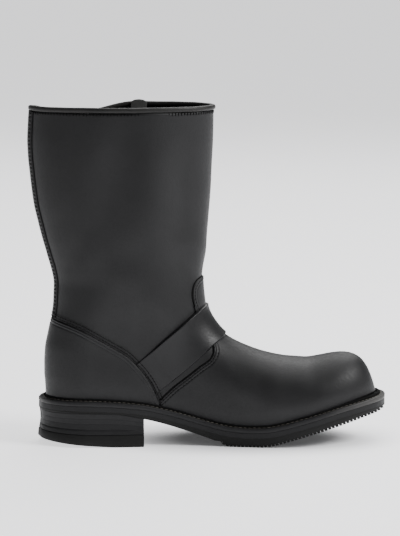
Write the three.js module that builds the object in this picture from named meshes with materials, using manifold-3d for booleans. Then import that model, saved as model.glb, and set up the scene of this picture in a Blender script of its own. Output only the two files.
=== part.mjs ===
// A tall pull-on boot with a plain strap over the instep.
// Millimetres. x runs from the heel to the toe, y across the boot, z up from the floor.
import * as THREE from "three";
import { mergeVertices } from "three/addons/utils/BufferGeometryUtils.js";
import Module from "manifold-3d";

const wasm = await Module();
wasm.setup();

// Driving dimensions
const LENGTH = 291;        // upper, heel to toe at the feather edge
const BALL_WIDTH = 97;     // upper, across the ball
const SHAFT_TOP = 294.1;   // top of the leather under the rolled edge
const SHAFT_FOOT = 151.5;  // where the straight part of the shaft begins
const GAP = 0.3;           // between pieces that lie on each other
const WALL = 2.2;          // leather of the upper
const OVERLAY = 1.7;       // leather of the vamp and counter
const STRAP = 2.6;         // leather of the strap
const BACKSTAY_HALF = 11;  // half the width of the strip up the back
const WELT_OUT = 7.2;      // how far the welt stands out from the upper
const TOE_OUT = 2.4;       // and further at the toe
const WELT = 3.8;          // welt thickness
const MIDSOLE = 4.2;       // midsole thickness
const INSOLE = 3.2;        // insole thickness
const HEEL_X = 84.5;       // heel breast
const TOP_LIFT = 11;       // rubber heel piece, floor to its top
const LIFTS = 4;           // leather lifts in the heel
const RIB_PITCH = 3.3;     // cross ribs of the outsole
const RIB_DEPTH = 1.7;
const BINDING_HIGH = 4.6;  // rolled edge
const BINDING_WIDE = 5.2;

// A height in the shaft, as a share of its straight part
function up(share) {
  return SHAFT_FOOT + share * (SHAFT_TOP - SHAFT_FOOT);
}

// Share of the length, height of the welt's top
const FEATHER = [
  [-0.05, 41.1], [0, 41.1], [0.1, 41], [0.21, 39.4], [0.29, 36.8], [0.35, 32.8], [0.41, 28.1],
  [0.46, 23.7], [0.51, 19.8], [0.555, 17.5], [0.6, 16.7], [0.65, 17.2], [0.7, 19.7], [0.76, 24.5],
  [0.84, 31.3], [0.92, 37.3], [0.98, 40.5], [1.05, 42.7],
];
// Share of the length, height of the outsole's underside
const UNDERSIDE = [
  [-0.05, 30.1], [0.1, 30.1], [0.2, 29.4], [0.285, 25], [0.33, 21.8], [0.37, 18.4], [0.41, 14.7],
  [0.45, 10.8], [0.49, 6.7], [0.52, 3.5], [0.542, 0.4], [0.551, 0], [0.64, 0],
  [0.665, 0.9], [0.72, 5], [0.8, 12.2], [0.88, 19], [0.96, 25.5], [1, 28.1], [1.03, 30.9],
];
// Share of the length, near half-width and far half-width as shares of the ball width
const PLAN = [
  [0, 0.3, 0.3], [0.12, 0.325, 0.325], [0.24, 0.322, 0.33], [0.36, 0.3, 0.352], [0.46, 0.318, 0.398],
  [0.55, 0.375, 0.462], [0.63, 0.432, 0.5], [0.7, 0.465, 0.51], [0.78, 0.47, 0.492],
  [0.87, 0.44, 0.445], [0.94, 0.41, 0.41], [1, 0.39, 0.39],
];
// The front line from the toe to the collar: x as a share of the length, height
const FRONT = [
  [1, 42.1], [0.991, 51], [0.982, 58.5], [0.9695, 66.1], [0.955, 71.4], [0.935, 74.8],
  [0.907, 76.2], [0.875, 75.3], [0.835, 72.9], [0.8, 71.2], [0.765, 71.7], [0.73, 72.4],
  [0.69, 74.4], [0.65, 77.4], [0.615, 81.2], [0.585, 85.2], [0.56, 89.3], [0.531, 95.7],
  [0.509, 103.3], [0.4925, 111.1], [0.4835, 118.5], [0.482, 126.5], [0.4805, 138.5],
  [0.48, 151.5], [0.4808, up(0.07)], [0.4877, up(0.214)], [0.4932, up(0.363)],
  [0.4988, up(0.512)], [0.5025, up(0.659)], [0.507, up(0.813)], [0.509, SHAFT_TOP],
];
// The back line: height, x
const BACK = [
  [39.5, 0.7], [47.4, 0.5], [54.6, 0.1], [61.8, -0.5], [69, -0.5], [83.4, 0.2], [97.6, 2.9],
  [111.9, 5.9], [126.2, 7.55], [140.4, 7.65], [up(0.022), 5.75], [up(0.123), 2.25],
  [up(0.222), -1.95], [up(0.322), -5.45], [up(0.421), -8.65], [up(0.52), -10.65],
  [up(0.619), -12.25], [up(0.718), -13.65], [up(0.817), -14.25], [up(0.915), -13.65],
  [SHAFT_TOP, -12.85],
];
// Height, half-width of the shaft, rounding at the back, rounding at the front
const SHAFT = [
  [41.5, 34, 36, 46], [81.5, 34, 38, 46], [116.5, 35.5, 46, 50], [SHAFT_FOOT, 37, 58, 56],
  [up(0.351), 40, 76, 66], [up(0.701), 42.5, 84, 72], [SHAFT_TOP, 43.5, 88, 74],
];
// Share of the front line, height of the back of the same ring
const RISE = [
  [0, 41.1], [0.1, 51.5], [0.22, 67.5], [0.364, 93.5], [0.45, 113.5], [0.52, 129.5],
  [0.605, SHAFT_FOOT], [1, SHAFT_TOP],
];
// Rings of the upper, as shares of the front line
const RINGS = [
  0, 0.02, 0.045, 0.07, 0.096, 0.125, 0.16, 0.205, 0.25, 0.3, 0.345, 0.38, 0.41, 0.44, 0.475, 0.515,
  0.56, 0.62, 0.69, 0.77, 0.85, 0.93, 1,
];
const AROUND = 36;
const STATIONS = 26;

function clamp(a, low, high) {
  return Math.min(high, Math.max(low, a));
}

function soft(a, low, high) {
  const s = clamp((a - low) / (high - low), 0, 1);
  return s * s * (3 - 2 * s);
}

function roundOff(t, power) {
  return Math.max(0, 1 - (1 - clamp(t, 0, 1)) ** power) ** (1 / power);
}

// A smooth line through two columns of a table, with or without overshoot
function curve(table, a, column = 1, steady = true) {
  const last = table.length - 1;
  const v = clamp(a, table[0][0], table[last][0]);
  let k = 0;
  while (k < last - 1 && v >= table[k + 1][0]) k += 1;
  const step = (i) => table[i + 1][0] - table[i][0];
  const rise = (i) => (table[i + 1][column] - table[i][column]) / step(i);
  const slope = (i) => {
    if (i === 0) return rise(0);
    if (i === last) return rise(last - 1);
    const d0 = rise(i - 1);
    const d1 = rise(i);
    if (!steady) return (step(i) * d0 + step(i - 1) * d1) / (step(i) + step(i - 1));
    if (d0 * d1 <= 0) return 0;
    const w0 = 2 * step(i) + step(i - 1);
    const w1 = step(i) + 2 * step(i - 1);
    return (w0 + w1) / (w0 / d0 + w1 / d1);
  };
  const h = step(k);
  const s = (v - table[k][0]) / h;
  const s2 = s * s;
  const s3 = s2 * s;
  return (2 * s3 - 3 * s2 + 1) * table[k][column] + (s3 - 2 * s2 + s) * h * slope(k)
    + (-2 * s3 + 3 * s2) * table[k + 1][column] + (s3 - s2) * h * slope(k + 1);
}

// The front line by its own length
const frontX = [[0, FRONT[0][0] * LENGTH]];
const frontZ = [[0, FRONT[0][1]]];
for (let i = 1; i < FRONT.length; i += 1) {
  const dx = (FRONT[i][0] - FRONT[i - 1][0]) * LENGTH;
  const dz = FRONT[i][1] - FRONT[i - 1][1];
  const run = frontX[i - 1][0] + Math.hypot(dx, dz);
  frontX.push([run, FRONT[i][0] * LENGTH]);
  frontZ.push([run, FRONT[i][1]]);
}
const FRONT_RUN = frontX[frontX.length - 1][0];

function frontPoint(share) {
  const run = share * FRONT_RUN;
  return [curve(frontX, run, 1, false), curve(frontZ, run, 1, false)];
}

const frontLine = [];
for (let i = 0; i <= 900; i += 1) frontLine.push(frontPoint(i / 900));
let ankle = 300;
for (let i = 300; i <= 900; i += 1) {
  if (frontLine[i][0] < frontLine[ankle][0]) ankle = i;
}
const ANKLE_Z = frontLine[ankle][1];

function lookUp(list, from, to, key, value, a) {
  // list[key] runs one way between from and to
  const up = list[to][key] > list[from][key];
  if (up ? a <= list[from][key] : a >= list[from][key]) return list[from][value];
  if (up ? a >= list[to][key] : a <= list[to][key]) return list[to][value];
  let low = from;
  let high = to;
  while (high - low > 1) {
    const mid = (low + high) >> 1;
    if (up ? list[mid][key] <= a : list[mid][key] >= a) low = mid;
    else high = mid;
  }
  const s = (a - list[low][key]) / (list[high][key] - list[low][key]);
  return list[low][value] + s * (list[high][value] - list[low][value]);
}

function ridge(x) {
  if (x <= frontLine[ankle][0]) return 1e4;
  return lookUp(frontLine, 0, ankle, 0, 1, x);
}

let rising = 300;
while (frontLine[rising][1] < 79.5) rising += 1;

function frontAt(z) {
  return lookUp(frontLine, rising, 900, 1, 0, z);
}

function feather(x) {
  return curve(FEATHER, x / LENGTH);
}

function backAt(z) {
  return curve(BACK, z);
}

function centreLine(x, z) {
  return -7 * soft(x / LENGTH, 0.6, 1) * (1 - soft(z, 81.5, 121.5));
}

// Distance from a point of the side view to the front line at the instep and ankle
function besideFront(x, z) {
  let best = 1e9;
  for (let i = 240; i < 680; i += 5) {
    const [ax, az] = frontLine[i];
    const bx = frontLine[i + 5][0] - ax;
    const bz = frontLine[i + 5][1] - az;
    const s = clamp(((x - ax) * bx + (z - az) * bz) / (bx * bx + bz * bz), 0, 1);
    best = Math.min(best, Math.hypot(x - ax - s * bx, z - az - s * bz));
  }
  return best;
}

// Half-width of the upper at a point of the side view
function halfWidth(x, z, far) {
  const foot = BALL_WIDTH * curve(PLAN, x / LENGTH, far ? 2 : 1) * roundOff((LENGTH - x) / 60, 2.15);
  const turn = soft(z, 63.5, SHAFT_FOOT);
  const wide = foot * (1 - turn) + curve(SHAFT, z, 1) * turn;
  const base = feather(x);
  const top = ridge(x);
  const cap = curve(SHAFT, z, 3);
  const down = Math.max(top - z, 1e-6);
  const high = Math.max(top - base, 1e-6);
  const deep = 1 / (1 / high ** 4 + 1 / cap ** 4) ** 0.25;
  const above = soft(z, 81.5, 99.5);
  const ahead = Math.max(frontAt(z) - x, 1e-6);
  const below = 1 - soft(z, ANKLE_Z - 12, ANKLE_Z);
  let near = 1 / Math.sqrt(below / down ** 2 + above / ahead ** 2 + 1e-12);
  const beside = (1 - soft(x, 150, 185)) * (1 - soft(z, SHAFT_FOOT, SHAFT_FOOT + 24));
  if (beside > 0 && x > 60) near = Math.min(near, 200) * (1 - beside) + besideFront(x, z) * beside;
  const size = deep * (1 - above) + cap * above;
  const dome = roundOff(near / size, 2.25 - 0.25 * turn);
  const heel = roundOff(Math.max(x - backAt(z), 0) / curve(SHAFT, z, 2), 2.2 - 0.2 * turn);
  const tuck = 1 - 0.07 * (1 - clamp((z - base) / 16, 0, 1)) ** 2;
  return wide * dome * heel * tuck;
}

function collarDip(x, far) {
  return far ? -7 * (1 - soft(x, 38, 80)) * soft(x, -16, 12) : 0;
}

// A point of the upper's outside: share along the front line, turn from 0 at the back
function surface(share, turn) {
  const s = clamp(share, 0, 1);
  const t = ((turn % 1) + 1) % 1;
  const far = t > 0.5;
  const u = (1 - Math.cos(2 * Math.PI * t)) / 2;
  const zb = curve(RISE, s);
  const xb = backAt(zb);
  const [xf, zf] = frontPoint(s);
  const x = xb + (xf - xb) * u;
  const level = feather(xb) * (1 - u) + feather(xf) * u;
  const follow = 1 - soft(zb, 41.1, SHAFT_FOOT);
  const z = zb + (zf - zb) * u + follow * (feather(x) - level);
  const y = centreLine(x, z) + (far ? 1 : -1) * halfWidth(x, z, far);
  return new THREE.Vector3(x, y, z + collarDip(x, far) * soft(s, 0.9, 1));
}

function outward(share, turn) {
  const e = 0.0015;
  const a = surface(share + e, turn).sub(surface(share - e, turn));
  const b = surface(share, turn + e).sub(surface(share, turn - e));
  return b.cross(a).normalize();
}

// The shaped surface, moved out by a distance
function offsetRing(share, distance) {
  const ring = [];
  for (let i = 0; i < AROUND; i += 1) {
    const p = surface(share, i / AROUND);
    const n = outward(share, i / AROUND);
    if (share === 0 || share === 1) n.setZ(0).normalize();
    ring.push(p.addScaledVector(n, distance));
  }
  return ring;
}

// Joins closed rings of equal count into one body. Ring by ring, outside seen from the right.
function skin(rings, closed) {
  const positions = [];
  const indices = [];
  const n = rings[0].length;
  for (const ring of rings) for (const p of ring) positions.push(p.x, p.y, p.z);
  const bands = closed ? rings.length : rings.length - 1;
  for (let r = 0; r < bands; r += 1) {
    const a = r * n;
    const b = ((r + 1) % rings.length) * n;
    for (let i = 0; i < n; i += 1) {
      const j = (i + 1) % n;
      indices.push(a + i, a + j, b + j, a + i, b + j, b + i);
    }
  }
  if (!closed) {
    // Ladders across the open ends, between the near and the far half
    for (const [ring, flip] of [[0, true], [rings.length - 1, false]]) {
      const o = ring * n;
      for (let i = 0; i < n / 2; i += 1) {
        const near = o + i;
        const near2 = o + i + 1;
        const far = o + ((n - i) % n);
        const far2 = o + n - i - 1;
        if (flip) indices.push(near, far2, near2, near, far, far2);
        else indices.push(near, near2, far2, near, far2, far);
      }
    }
  }
  const geometry = new THREE.BufferGeometry();
  geometry.setAttribute("position", new THREE.Float32BufferAttribute(positions, 3));
  geometry.setIndex(indices);
  return geometry;
}

// Joins open sections of equal count into one body with a fan at each end
function endCapped(rings) {
  const body = skin(rings, false);
  const n = rings[0].length;
  const bandEnd = (rings.length - 1) * n * 6;
  const indices = Array.from(body.index.array).slice(0, bandEnd);
  const last = (rings.length - 1) * n;
  for (let i = 1; i < n - 1; i += 1) {
    indices.push(0, i + 1, i);
    indices.push(last, last + i, last + i + 1);
  }
  body.setIndex(indices);
  return body;
}

function clean(geometry) {
  const g = geometry.clone();
  for (const name of Object.keys(g.attributes)) if (name !== "position") g.deleteAttribute(name);
  const merged = mergeVertices(g, 1e-4);
  const old = merged.index.array;
  const kept = [];
  for (let i = 0; i < old.length; i += 3) {
    const [a, b, c] = [old[i], old[i + 1], old[i + 2]];
    if (a !== b && b !== c && a !== c) kept.push(a, b, c);
  }
  merged.setIndex(kept);
  return merged;
}

function solid(geometry) {
  const g = clean(geometry);
  return new wasm.Manifold(new wasm.Mesh({
    numProp: 3,
    vertProperties: new Float32Array(g.attributes.position.array),
    triVerts: new Uint32Array(g.index.array),
  }));
}

function fromSolid(body) {
  const mesh = body.getMesh();
  const geometry = new THREE.BufferGeometry();
  const points = new Float32Array(mesh.vertProperties);
  geometry.setAttribute("position", new THREE.BufferAttribute(points, 3));
  geometry.setIndex(new THREE.BufferAttribute(new Uint32Array(mesh.triVerts), 1));
  return geometry;
}

// A side-view outline pushed straight across the boot
function across(points, from = -90, to = 90) {
  const shape = new THREE.Shape(points.map(([x, z]) => new THREE.Vector2(x, z)));
  const g = new THREE.ExtrudeGeometry(shape, { depth: to - from, bevelEnabled: false, steps: 1 });
  g.rotateX(Math.PI / 2);
  g.translate(0, to, 0);
  return solid(g);
}

// Filled form of the upper at a distance from its outside, with its ends drawn out by some more
function filled(distance, more = 0) {
  const rings = RINGS.map((s) => offsetRing(s, distance));
  if (more > 0) {
    const shift = (ring, dz) => ring.map((p) => new THREE.Vector3(p.x, p.y, p.z + dz));
    rings.unshift(shift(rings[0], -more));
    rings.push(shift(rings[rings.length - 1], more));
  }
  return solid(skin(rings, false));
}

// The feather outline in plan, moved out by a distance; pairs of near and far points
function plan(distance, stations = STATIONS) {
  const edge = (u, far) => {
    const x = LENGTH * u;
    const w = halfWidth(Math.min(x, LENGTH - 1e-6), feather(x), far);
    return new THREE.Vector2(x, centreLine(x, 0) + (far ? w : -w));
  };
  const rows = [];
  for (let i = 0; i <= stations; i += 1) {
    const u = (1 - Math.cos(Math.PI * i / stations)) / 2;
    const pair = [];
    for (const far of [false, true]) {
      const e = 0.002;
      const ends = i === 0 || i === stations;
      const p = edge(u, far);
      let nx = i === 0 ? -1 : 1;
      let ny = 0;
      if (!ends) {
        const d = edge(Math.min(1, u + e), far).sub(edge(Math.max(0, u - e), far)).normalize();
        nx = far ? -d.y : d.y;
        ny = far ? d.x : -d.x;
      }
      if (ends) p.y = centreLine(p.x, 0);
      const out = distance + (distance > 0 ? TOE_OUT * soft(p.x / LENGTH, 0.86, 1) : 0);
      pair.push([p.x + nx * out, p.y + ny * out]);
    }
    rows.push(pair);
  }
  return rows;
}

// A layer of the sole: rows from the top to the underside, each [plan distance, height over x]
function layer(rows, stations = STATIONS) {
  const rings = rows.map(([distance, height]) => {
    const pairs = plan(distance, stations);
    const near = pairs.map(([a]) => new THREE.Vector3(a[0], a[1], height(a[0])));
    const far = pairs.map(([, b]) => new THREE.Vector3(b[0], b[1], height(b[0])));
    return near.concat(far.slice(1, -1).reverse());
  });
  return solid(skin(rings.reverse(), false));
}

const group = new THREE.Group();

function piece(name, body, colour, roughness = 0.7) {
  const material = new THREE.MeshStandardMaterial({ color: colour, roughness, metalness: 0 });
  const mesh = new THREE.Mesh(fromSolid(body), material);
  mesh.name = name;
  group.add(mesh);
  return mesh;
}

// Upper: one shell, open at the collar and underneath
const EDGE = 0.35;
const outer = RINGS.map((s) => offsetRing(s, 0));
const inner = RINGS.map((s) => offsetRing(s, -WALL));
for (const p of outer[0].concat(inner[0])) p.z = feather(p.x) + EDGE;
piece("upper", solid(skin(outer.concat(inner.slice().reverse()), true)), 0x2c2c2e);

// Side-view outlines of the pieces that lie on the upper: x, height
const COUNTER_SEAM = [
  [4.7, 111.3], [10.5, 109.8], [21.7, 106.5], [28.7, 103.8], [34.9, 100.7], [41.9, 96.7],
  [56, 88.4], [70, 79.6], [77, 72.8], [85.8, 62.3], [92.8, 50.6], [97.6, 39.5],
];
const STRAP_TOP = [
  [92.9, 85.4], [108.6, 99.5], [124.8, 112.8], [134, 119.1], [143.5, 122.7], [165, 129.5],
];
const STRAP_UNDER = [
  [190, 108.3], [157.2, 93.6], [146, 87.6], [133.2, 77.4], [119.9, 65.8], [108.7, 56.5],
  [98.6, 48.1],
];
const VAMP_EDGE = [
  [98, 39.5], [110.5, 51.2], [121.9, 60.1], [133.2, 69], [144.6, 77.9], [146.3, 82.2],
  [146.1, 86.3], [141.5, 97], [135.4, 109.5], [131.6, 119.1], [129.1, 127.8], [129.1, 134.3],
  [131.2, 140.3], [134.8, 144.5], [139.5, 146.9], [150, 148.5],
];

// Follows the feather edge between two places, a little above it
function featherRun(from, to, above, steps = 24) {
  const run = [];
  for (let i = 0; i <= steps; i += 1) {
    const x = from + (to - from) * i / steps;
    run.push([x, feather(x) + above]);
  }
  return run;
}

const form0 = filled(GAP, 6);
const form1 = filled(GAP + OVERLAY);
const cover = form1.subtract(form0);

// Vamp: over the toe and instep, ending in a round-topped tongue
const vampOutline = VAMP_EDGE.concat([[330, 120], [330, feather(300) + EDGE + 0.3]], featherRun(300, 99, EDGE + 0.3));
const vamp = cover.intersect(across(vampOutline));
piece("vamp", vamp, 0x2e2e30);

// Counter: round the heel up to its slanting seam
const counterOutline = [[-30, COUNTER_SEAM[0][1] + 0.2]].concat(COUNTER_SEAM, featherRun(97, -30, EDGE + 0.3));
piece("counter", cover.intersect(across(counterOutline)), 0x2c2c2e);

// Backstay: up the back from the counter to the collar
const backFoot = COUNTER_SEAM[0][1] + 0.8;
const backBox = new THREE.BoxGeometry(60, 2 * BACKSTAY_HALF, SHAFT_TOP + 10 - backFoot);
backBox.translate(-10, 0, (SHAFT_TOP + 10 + backFoot) / 2);
piece("backstay", cover.intersect(solid(backBox)), 0x2c2c2e);

// Strap: over the vamp and the instep, down to the counter's seam on both sides
const strapEnd = COUNTER_SEAM.slice(8, 11).map(([x, z]) => [x + 0.7, z + 0.5]).reverse();
const strapOutline = strapEnd.concat(STRAP_TOP, STRAP_UNDER);
const overVamp = filled(GAP + OVERLAY + GAP, 6);
const strapBand = filled(GAP + OVERLAY + GAP + STRAP * 0.7).subtract(form0);
const vampRoom = across(VAMP_EDGE.map(([x, z], i) => [x - (i < 7 ? 0.25 : 0.4), z + 0.3]).concat([[330, 147], [330, 20]]));
const strap = strapBand.intersect(across(strapOutline)).subtract(overVamp.intersect(vampRoom));
piece("instep_strap", strap, 0x303032, 0.62);

// Rolled edge round the collar
const BINDING_SECTION = [
  [-0.5, 0.12], [-0.42, 0.72], [-0.2, 1], [0.2, 1], [0.42, 0.72], [0.5, 0.12], [0.4, 0], [-0.4, 0],
];
const bindingRings = [];
for (let i = 0; i < AROUND; i += 1) {
  const p = surface(1, i / AROUND);
  const n = outward(1, i / AROUND);
  n.z = 0;
  n.normalize();
  const mid = -WALL / 2 + 0.25;
  bindingRings.push(BINDING_SECTION.map(([a, b]) => new THREE.Vector3(
    p.x + n.x * (mid + a * BINDING_WIDE),
    p.y + n.y * (mid + a * BINDING_WIDE),
    p.z + GAP + b * BINDING_HIGH,
  )));
}
piece("collar_binding", solid(skin(bindingRings, true)), 0x3a3836);

// Pull tab: a strip inside the far wall, standing a little above the rolled edge
const TAB_FROM = 85;
const TAB_WIDE = 15;
const TAB_THICK = 1.8;
const TAB_HIGH = 46;
const TAB_OUT = 1.6;
const tabDepth = WALL / 2 - 0.25 + BINDING_WIDE / 2 + GAP;
const tabRings = [];
for (let i = 0; i <= 5; i += 1) {
  const x = TAB_FROM - TAB_WIDE / 2 + TAB_WIDE * i / 5;
  let low = 0.5;
  let high = 1;
  for (let k = 0; k < 30; k += 1) {
    const mid = (low + high) / 2;
    if (surface(1, mid).x > x) low = mid;
    else high = mid;
  }
  const p = surface(1, low);
  const n = outward(1, low);
  n.z = 0;
  n.normalize();
  const at = (d, z) => new THREE.Vector3(p.x - n.x * d, p.y - n.y * d, z);
  const top = SHAFT_TOP + GAP + BINDING_HIGH + TAB_OUT;
  tabRings.push([
    at(tabDepth, top - TAB_HIGH), at(tabDepth + TAB_THICK, top - TAB_HIGH),
    at(tabDepth + TAB_THICK, top - 0.7), at(tabDepth + TAB_THICK * 0.5, top), at(tabDepth, top - 0.7),
    at(tabDepth, top - TAB_HIGH / 2),
  ]);
}
piece("pull_tab", solid(endCapped(tabRings.reverse())), 0x4a4a4c, 0.85);

// Insole: rests on the filled middle of the midsole
const insoleRows = [
  [-WALL - 1.9, (x) => feather(x) + INSOLE],
  [-WALL - 0.8, (x) => feather(x) + 0.05],
];
piece("insole", layer(insoleRows), 0x6b5a48, 0.85);

// Welt: a rim round the whole boot
const CORE_IN = -7;
const weltTop = (x) => feather(x) - 0.25;
const weltUnder = (x) => weltTop(x) - WELT;
const weltRows = [
  [WELT_OUT - 0.7, weltTop],
  [WELT_OUT, (x) => weltTop(x) - 0.8],
  [WELT_OUT - 0.2, weltUnder],
];
const weltHole = [[CORE_IN, (x) => feather(x) + 3], [CORE_IN, (x) => weltUnder(x) - 3]];
piece("welt", layer(weltRows).subtract(layer(weltHole)), 0x3b3937, 0.75);

// Midsole: a layer under the welt, thicker in the middle, where it fills the welt's rim
const midTop = (x) => weltUnder(x) - GAP;
const midUnder = (x) => midTop(x) - MIDSOLE;
const midRows = [
  [WELT_OUT - 0.3, midTop],
  [WELT_OUT - 0.1, (x) => (midTop(x) + midUnder(x)) / 2],
  [WELT_OUT - 0.3, midUnder],
];
const coreRows = [[CORE_IN - GAP, (x) => feather(x) - 0.25], [CORE_IN - GAP, (x) => midTop(x) - 1]];
piece("midsole", layer(midRows).add(layer(coreRows)), 0x2f2d2b, 0.75);

// Outsole: thin rubber from the heel seat to the toe, with cross ribs under the forefoot
const outTop = (x) => midUnder(x) - GAP;
const under = (x) => curve(UNDERSIDE, x / LENGTH);
const outRows = [
  [WELT_OUT - 0.1, outTop],
  [WELT_OUT - 0.8, under],
];
const comb = [[150, -9]];
for (let x = 152; x < 298; x += RIB_PITCH) {
  const low = (a) => under(a) - 4;
  comb.push([x, low(x)], [x + 0.25, under(x) + RIB_DEPTH]);
  comb.push([x + 1.25, under(x + 1.25) + RIB_DEPTH], [x + 1.5, low(x + 1.5)]);
}
comb.push([302, 22], [302, -9]);
piece("outsole", layer(outRows).subtract(across(comb.reverse())), 0x232324, 0.8);

// Heel: stacked leather lifts on a rubber top lift, whose back edge is worn to a slope
const heelRoom = new THREE.BoxGeometry(120, 160, 80);
heelRoom.translate(HEEL_X - 60, 0, 0);
const heelBox = solid(heelRoom);
const slope = (x) => 5.2 * (Math.max(0, 60 - x) / 66) ** 1.25;
const liftTop = (x) => under(x) - GAP;
const rubberTop = (x) => TOP_LIFT + 2.2 * (Math.max(0, 50 - x) / 58) ** 1.5;
for (let i = 0; i < LIFTS; i += 1) {
  const at = (share) => (x) => liftTop(x) + (rubberTop(x) + GAP - liftTop(x)) * share;
  const out = (share) => WELT_OUT - 0.8 - 0.9 * Math.sin(Math.PI * share) + 0.6 * share;
  const rows = [
    [out(i / LIFTS), at(i / LIFTS)],
    [out((i + 1) / LIFTS), (x) => at((i + 1) / LIFTS)(x) + (i < LIFTS - 1 ? GAP : 0)],
  ];
  piece(`heel_lift_${i + 1}`, layer(rows).intersect(heelBox), 0x2a2827, 0.6);
}
const rubberRows = [
  [WELT_OUT - 0.2, rubberTop],
  [WELT_OUT + 0.3, (x) => rubberTop(x) - 0.6],
  [WELT_OUT + 0.9, (x) => slope(x) + 0.7],
  [WELT_OUT + 0.2, slope],
];
piece("top_lift", layer(rubberRows).intersect(heelBox), 0x1f1f20, 0.75);

// Origin at the middle of the base
const bounds = new THREE.Box3().setFromObject(group);
group.position.set(-(bounds.min.x + bounds.max.x) / 2, -(bounds.min.y + bounds.max.y) / 2, -bounds.min.z);
group.updateMatrixWorld(true);

export default group;
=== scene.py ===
"""A tall black pull-on boot with a strap over the instep, dressed in leather, thread and rubber."""
import math

import bmesh
import bpy
import numpy as np
from bpy.props import FloatProperty, FloatVectorProperty, PointerProperty
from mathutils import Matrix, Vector


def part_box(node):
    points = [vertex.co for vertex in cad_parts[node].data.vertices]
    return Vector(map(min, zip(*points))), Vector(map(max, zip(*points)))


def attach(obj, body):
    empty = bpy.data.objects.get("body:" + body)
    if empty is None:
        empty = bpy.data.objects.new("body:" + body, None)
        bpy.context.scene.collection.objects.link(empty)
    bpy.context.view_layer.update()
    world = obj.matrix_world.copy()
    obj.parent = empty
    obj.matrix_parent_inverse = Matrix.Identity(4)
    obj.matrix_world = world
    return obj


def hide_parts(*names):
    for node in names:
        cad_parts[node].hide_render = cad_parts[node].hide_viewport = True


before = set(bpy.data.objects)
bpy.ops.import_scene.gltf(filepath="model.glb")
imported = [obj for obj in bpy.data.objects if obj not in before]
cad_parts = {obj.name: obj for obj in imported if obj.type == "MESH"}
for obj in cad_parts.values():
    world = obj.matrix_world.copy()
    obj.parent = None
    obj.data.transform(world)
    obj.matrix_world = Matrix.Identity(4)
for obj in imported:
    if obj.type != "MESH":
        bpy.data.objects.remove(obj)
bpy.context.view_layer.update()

bl_info = {
    "name": "Strap boot",
    "version": (1, 0, 0),
    "blender": (4, 5, 0),
    "location": "3D View > Sidebar > Boot",
    "description": "Builds a leather boot with an instep strap, a welted sole and a stacked heel",
    "category": "Add Mesh",
}

# The form of the boot. Millimetres; x from the heel to the toe, z up from the floor.

LENGTH = 291.0
BALL_WIDTH = 97.0
SHAFT_TOP = 294.1
SHAFT_FOOT = 151.5
GAP = 0.3
WALL = 2.2
OVERLAY = 1.7
WELT_OUT = 7.2
TOE_OUT = 2.4
WELT = 3.8
MIDSOLE = 4.2
HEEL_X = 84.5
TOP_LIFT = 11.0
LIFTS = 4


def up(share):
    return SHAFT_FOOT + share * (SHAFT_TOP - SHAFT_FOOT)


# share of the length, height of the welt's top
FEATHER = np.array([(-0.05, 41.1), (0, 41.1), (0.1, 41), (0.21, 39.4), (0.29, 36.8), (0.35, 32.8), (0.41, 28.1),
    (0.46, 23.7), (0.51, 19.8), (0.555, 17.5), (0.6, 16.7), (0.65, 17.2), (0.7, 19.7), (0.76, 24.5),
    (0.84, 31.3), (0.92, 37.3), (0.98, 40.5), (1.05, 42.7)])
# share of the length, height of the outsole's underside
UNDERSIDE = np.array([(-0.05, 30.1), (0.1, 30.1), (0.2, 29.4), (0.285, 25), (0.33, 21.8), (0.37, 18.4),
    (0.41, 14.7), (0.45, 10.8), (0.49, 6.7), (0.52, 3.5), (0.542, 0.4), (0.551, 0), (0.64, 0),
    (0.665, 0.9), (0.72, 5), (0.8, 12.2), (0.88, 19), (0.96, 25.5), (1, 28.1), (1.03, 30.9)])
# share of the length, near and far half-widths as shares of the ball width
PLAN = np.array([(0, 0.3, 0.3), (0.12, 0.325, 0.325), (0.24, 0.322, 0.33), (0.36, 0.3, 0.352), (0.46, 0.318, 0.398),
                 (0.55, 0.375, 0.462), (0.63, 0.432, 0.5), (0.7, 0.465, 0.51), (0.78, 0.47, 0.492),
                 (0.87, 0.44, 0.445), (0.94, 0.41, 0.41), (1, 0.39, 0.39)])
# the front line from the toe to the collar: x as a share of the length, height
FRONT = np.array([(1, 42.1), (0.991, 51), (0.982, 58.5), (0.9695, 66.1), (0.955, 71.4), (0.935, 74.8),
    (0.907, 76.2), (0.875, 75.3), (0.835, 72.9), (0.8, 71.2), (0.765, 71.7), (0.73, 72.4), (0.69, 74.4),
    (0.65, 77.4), (0.615, 81.2), (0.585, 85.2), (0.56, 89.3), (0.531, 95.7), (0.509, 103.3), (0.4925, 111.1),
    (0.4835, 118.5), (0.482, 126.5), (0.4805, 138.5), (0.48, 151.5), (0.4808, up(0.07)), (0.4877, up(0.214)),
    (0.4932, up(0.363)), (0.4988, up(0.512)), (0.5025, up(0.659)), (0.507, up(0.813)), (0.509, SHAFT_TOP)])
# the back line: height, x
BACK = np.array([(39.5, 0.7), (47.4, 0.5), (54.6, 0.1), (61.8, -0.5), (69, -0.5), (83.4, 0.2), (97.6, 2.9),
    (111.9, 5.9), (126.2, 7.55), (140.4, 7.65), (up(0.022), 5.75), (up(0.123), 2.25), (up(0.222), -1.95),
    (up(0.322), -5.45), (up(0.421), -8.65), (up(0.52), -10.65), (up(0.619), -12.25), (up(0.718), -13.65),
    (up(0.817), -14.25), (up(0.915), -13.65), (SHAFT_TOP, -12.85)])
# height, half-width of the shaft, rounding at the back, rounding at the front
SHAFT = np.array([(41.5, 34, 36, 46), (81.5, 34, 38, 46), (116.5, 35.5, 46, 50), (SHAFT_FOOT, 37, 58, 56),
    (up(0.351), 40, 76, 66), (up(0.701), 42.5, 84, 72), (SHAFT_TOP, 43.5, 88, 74)])
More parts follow.
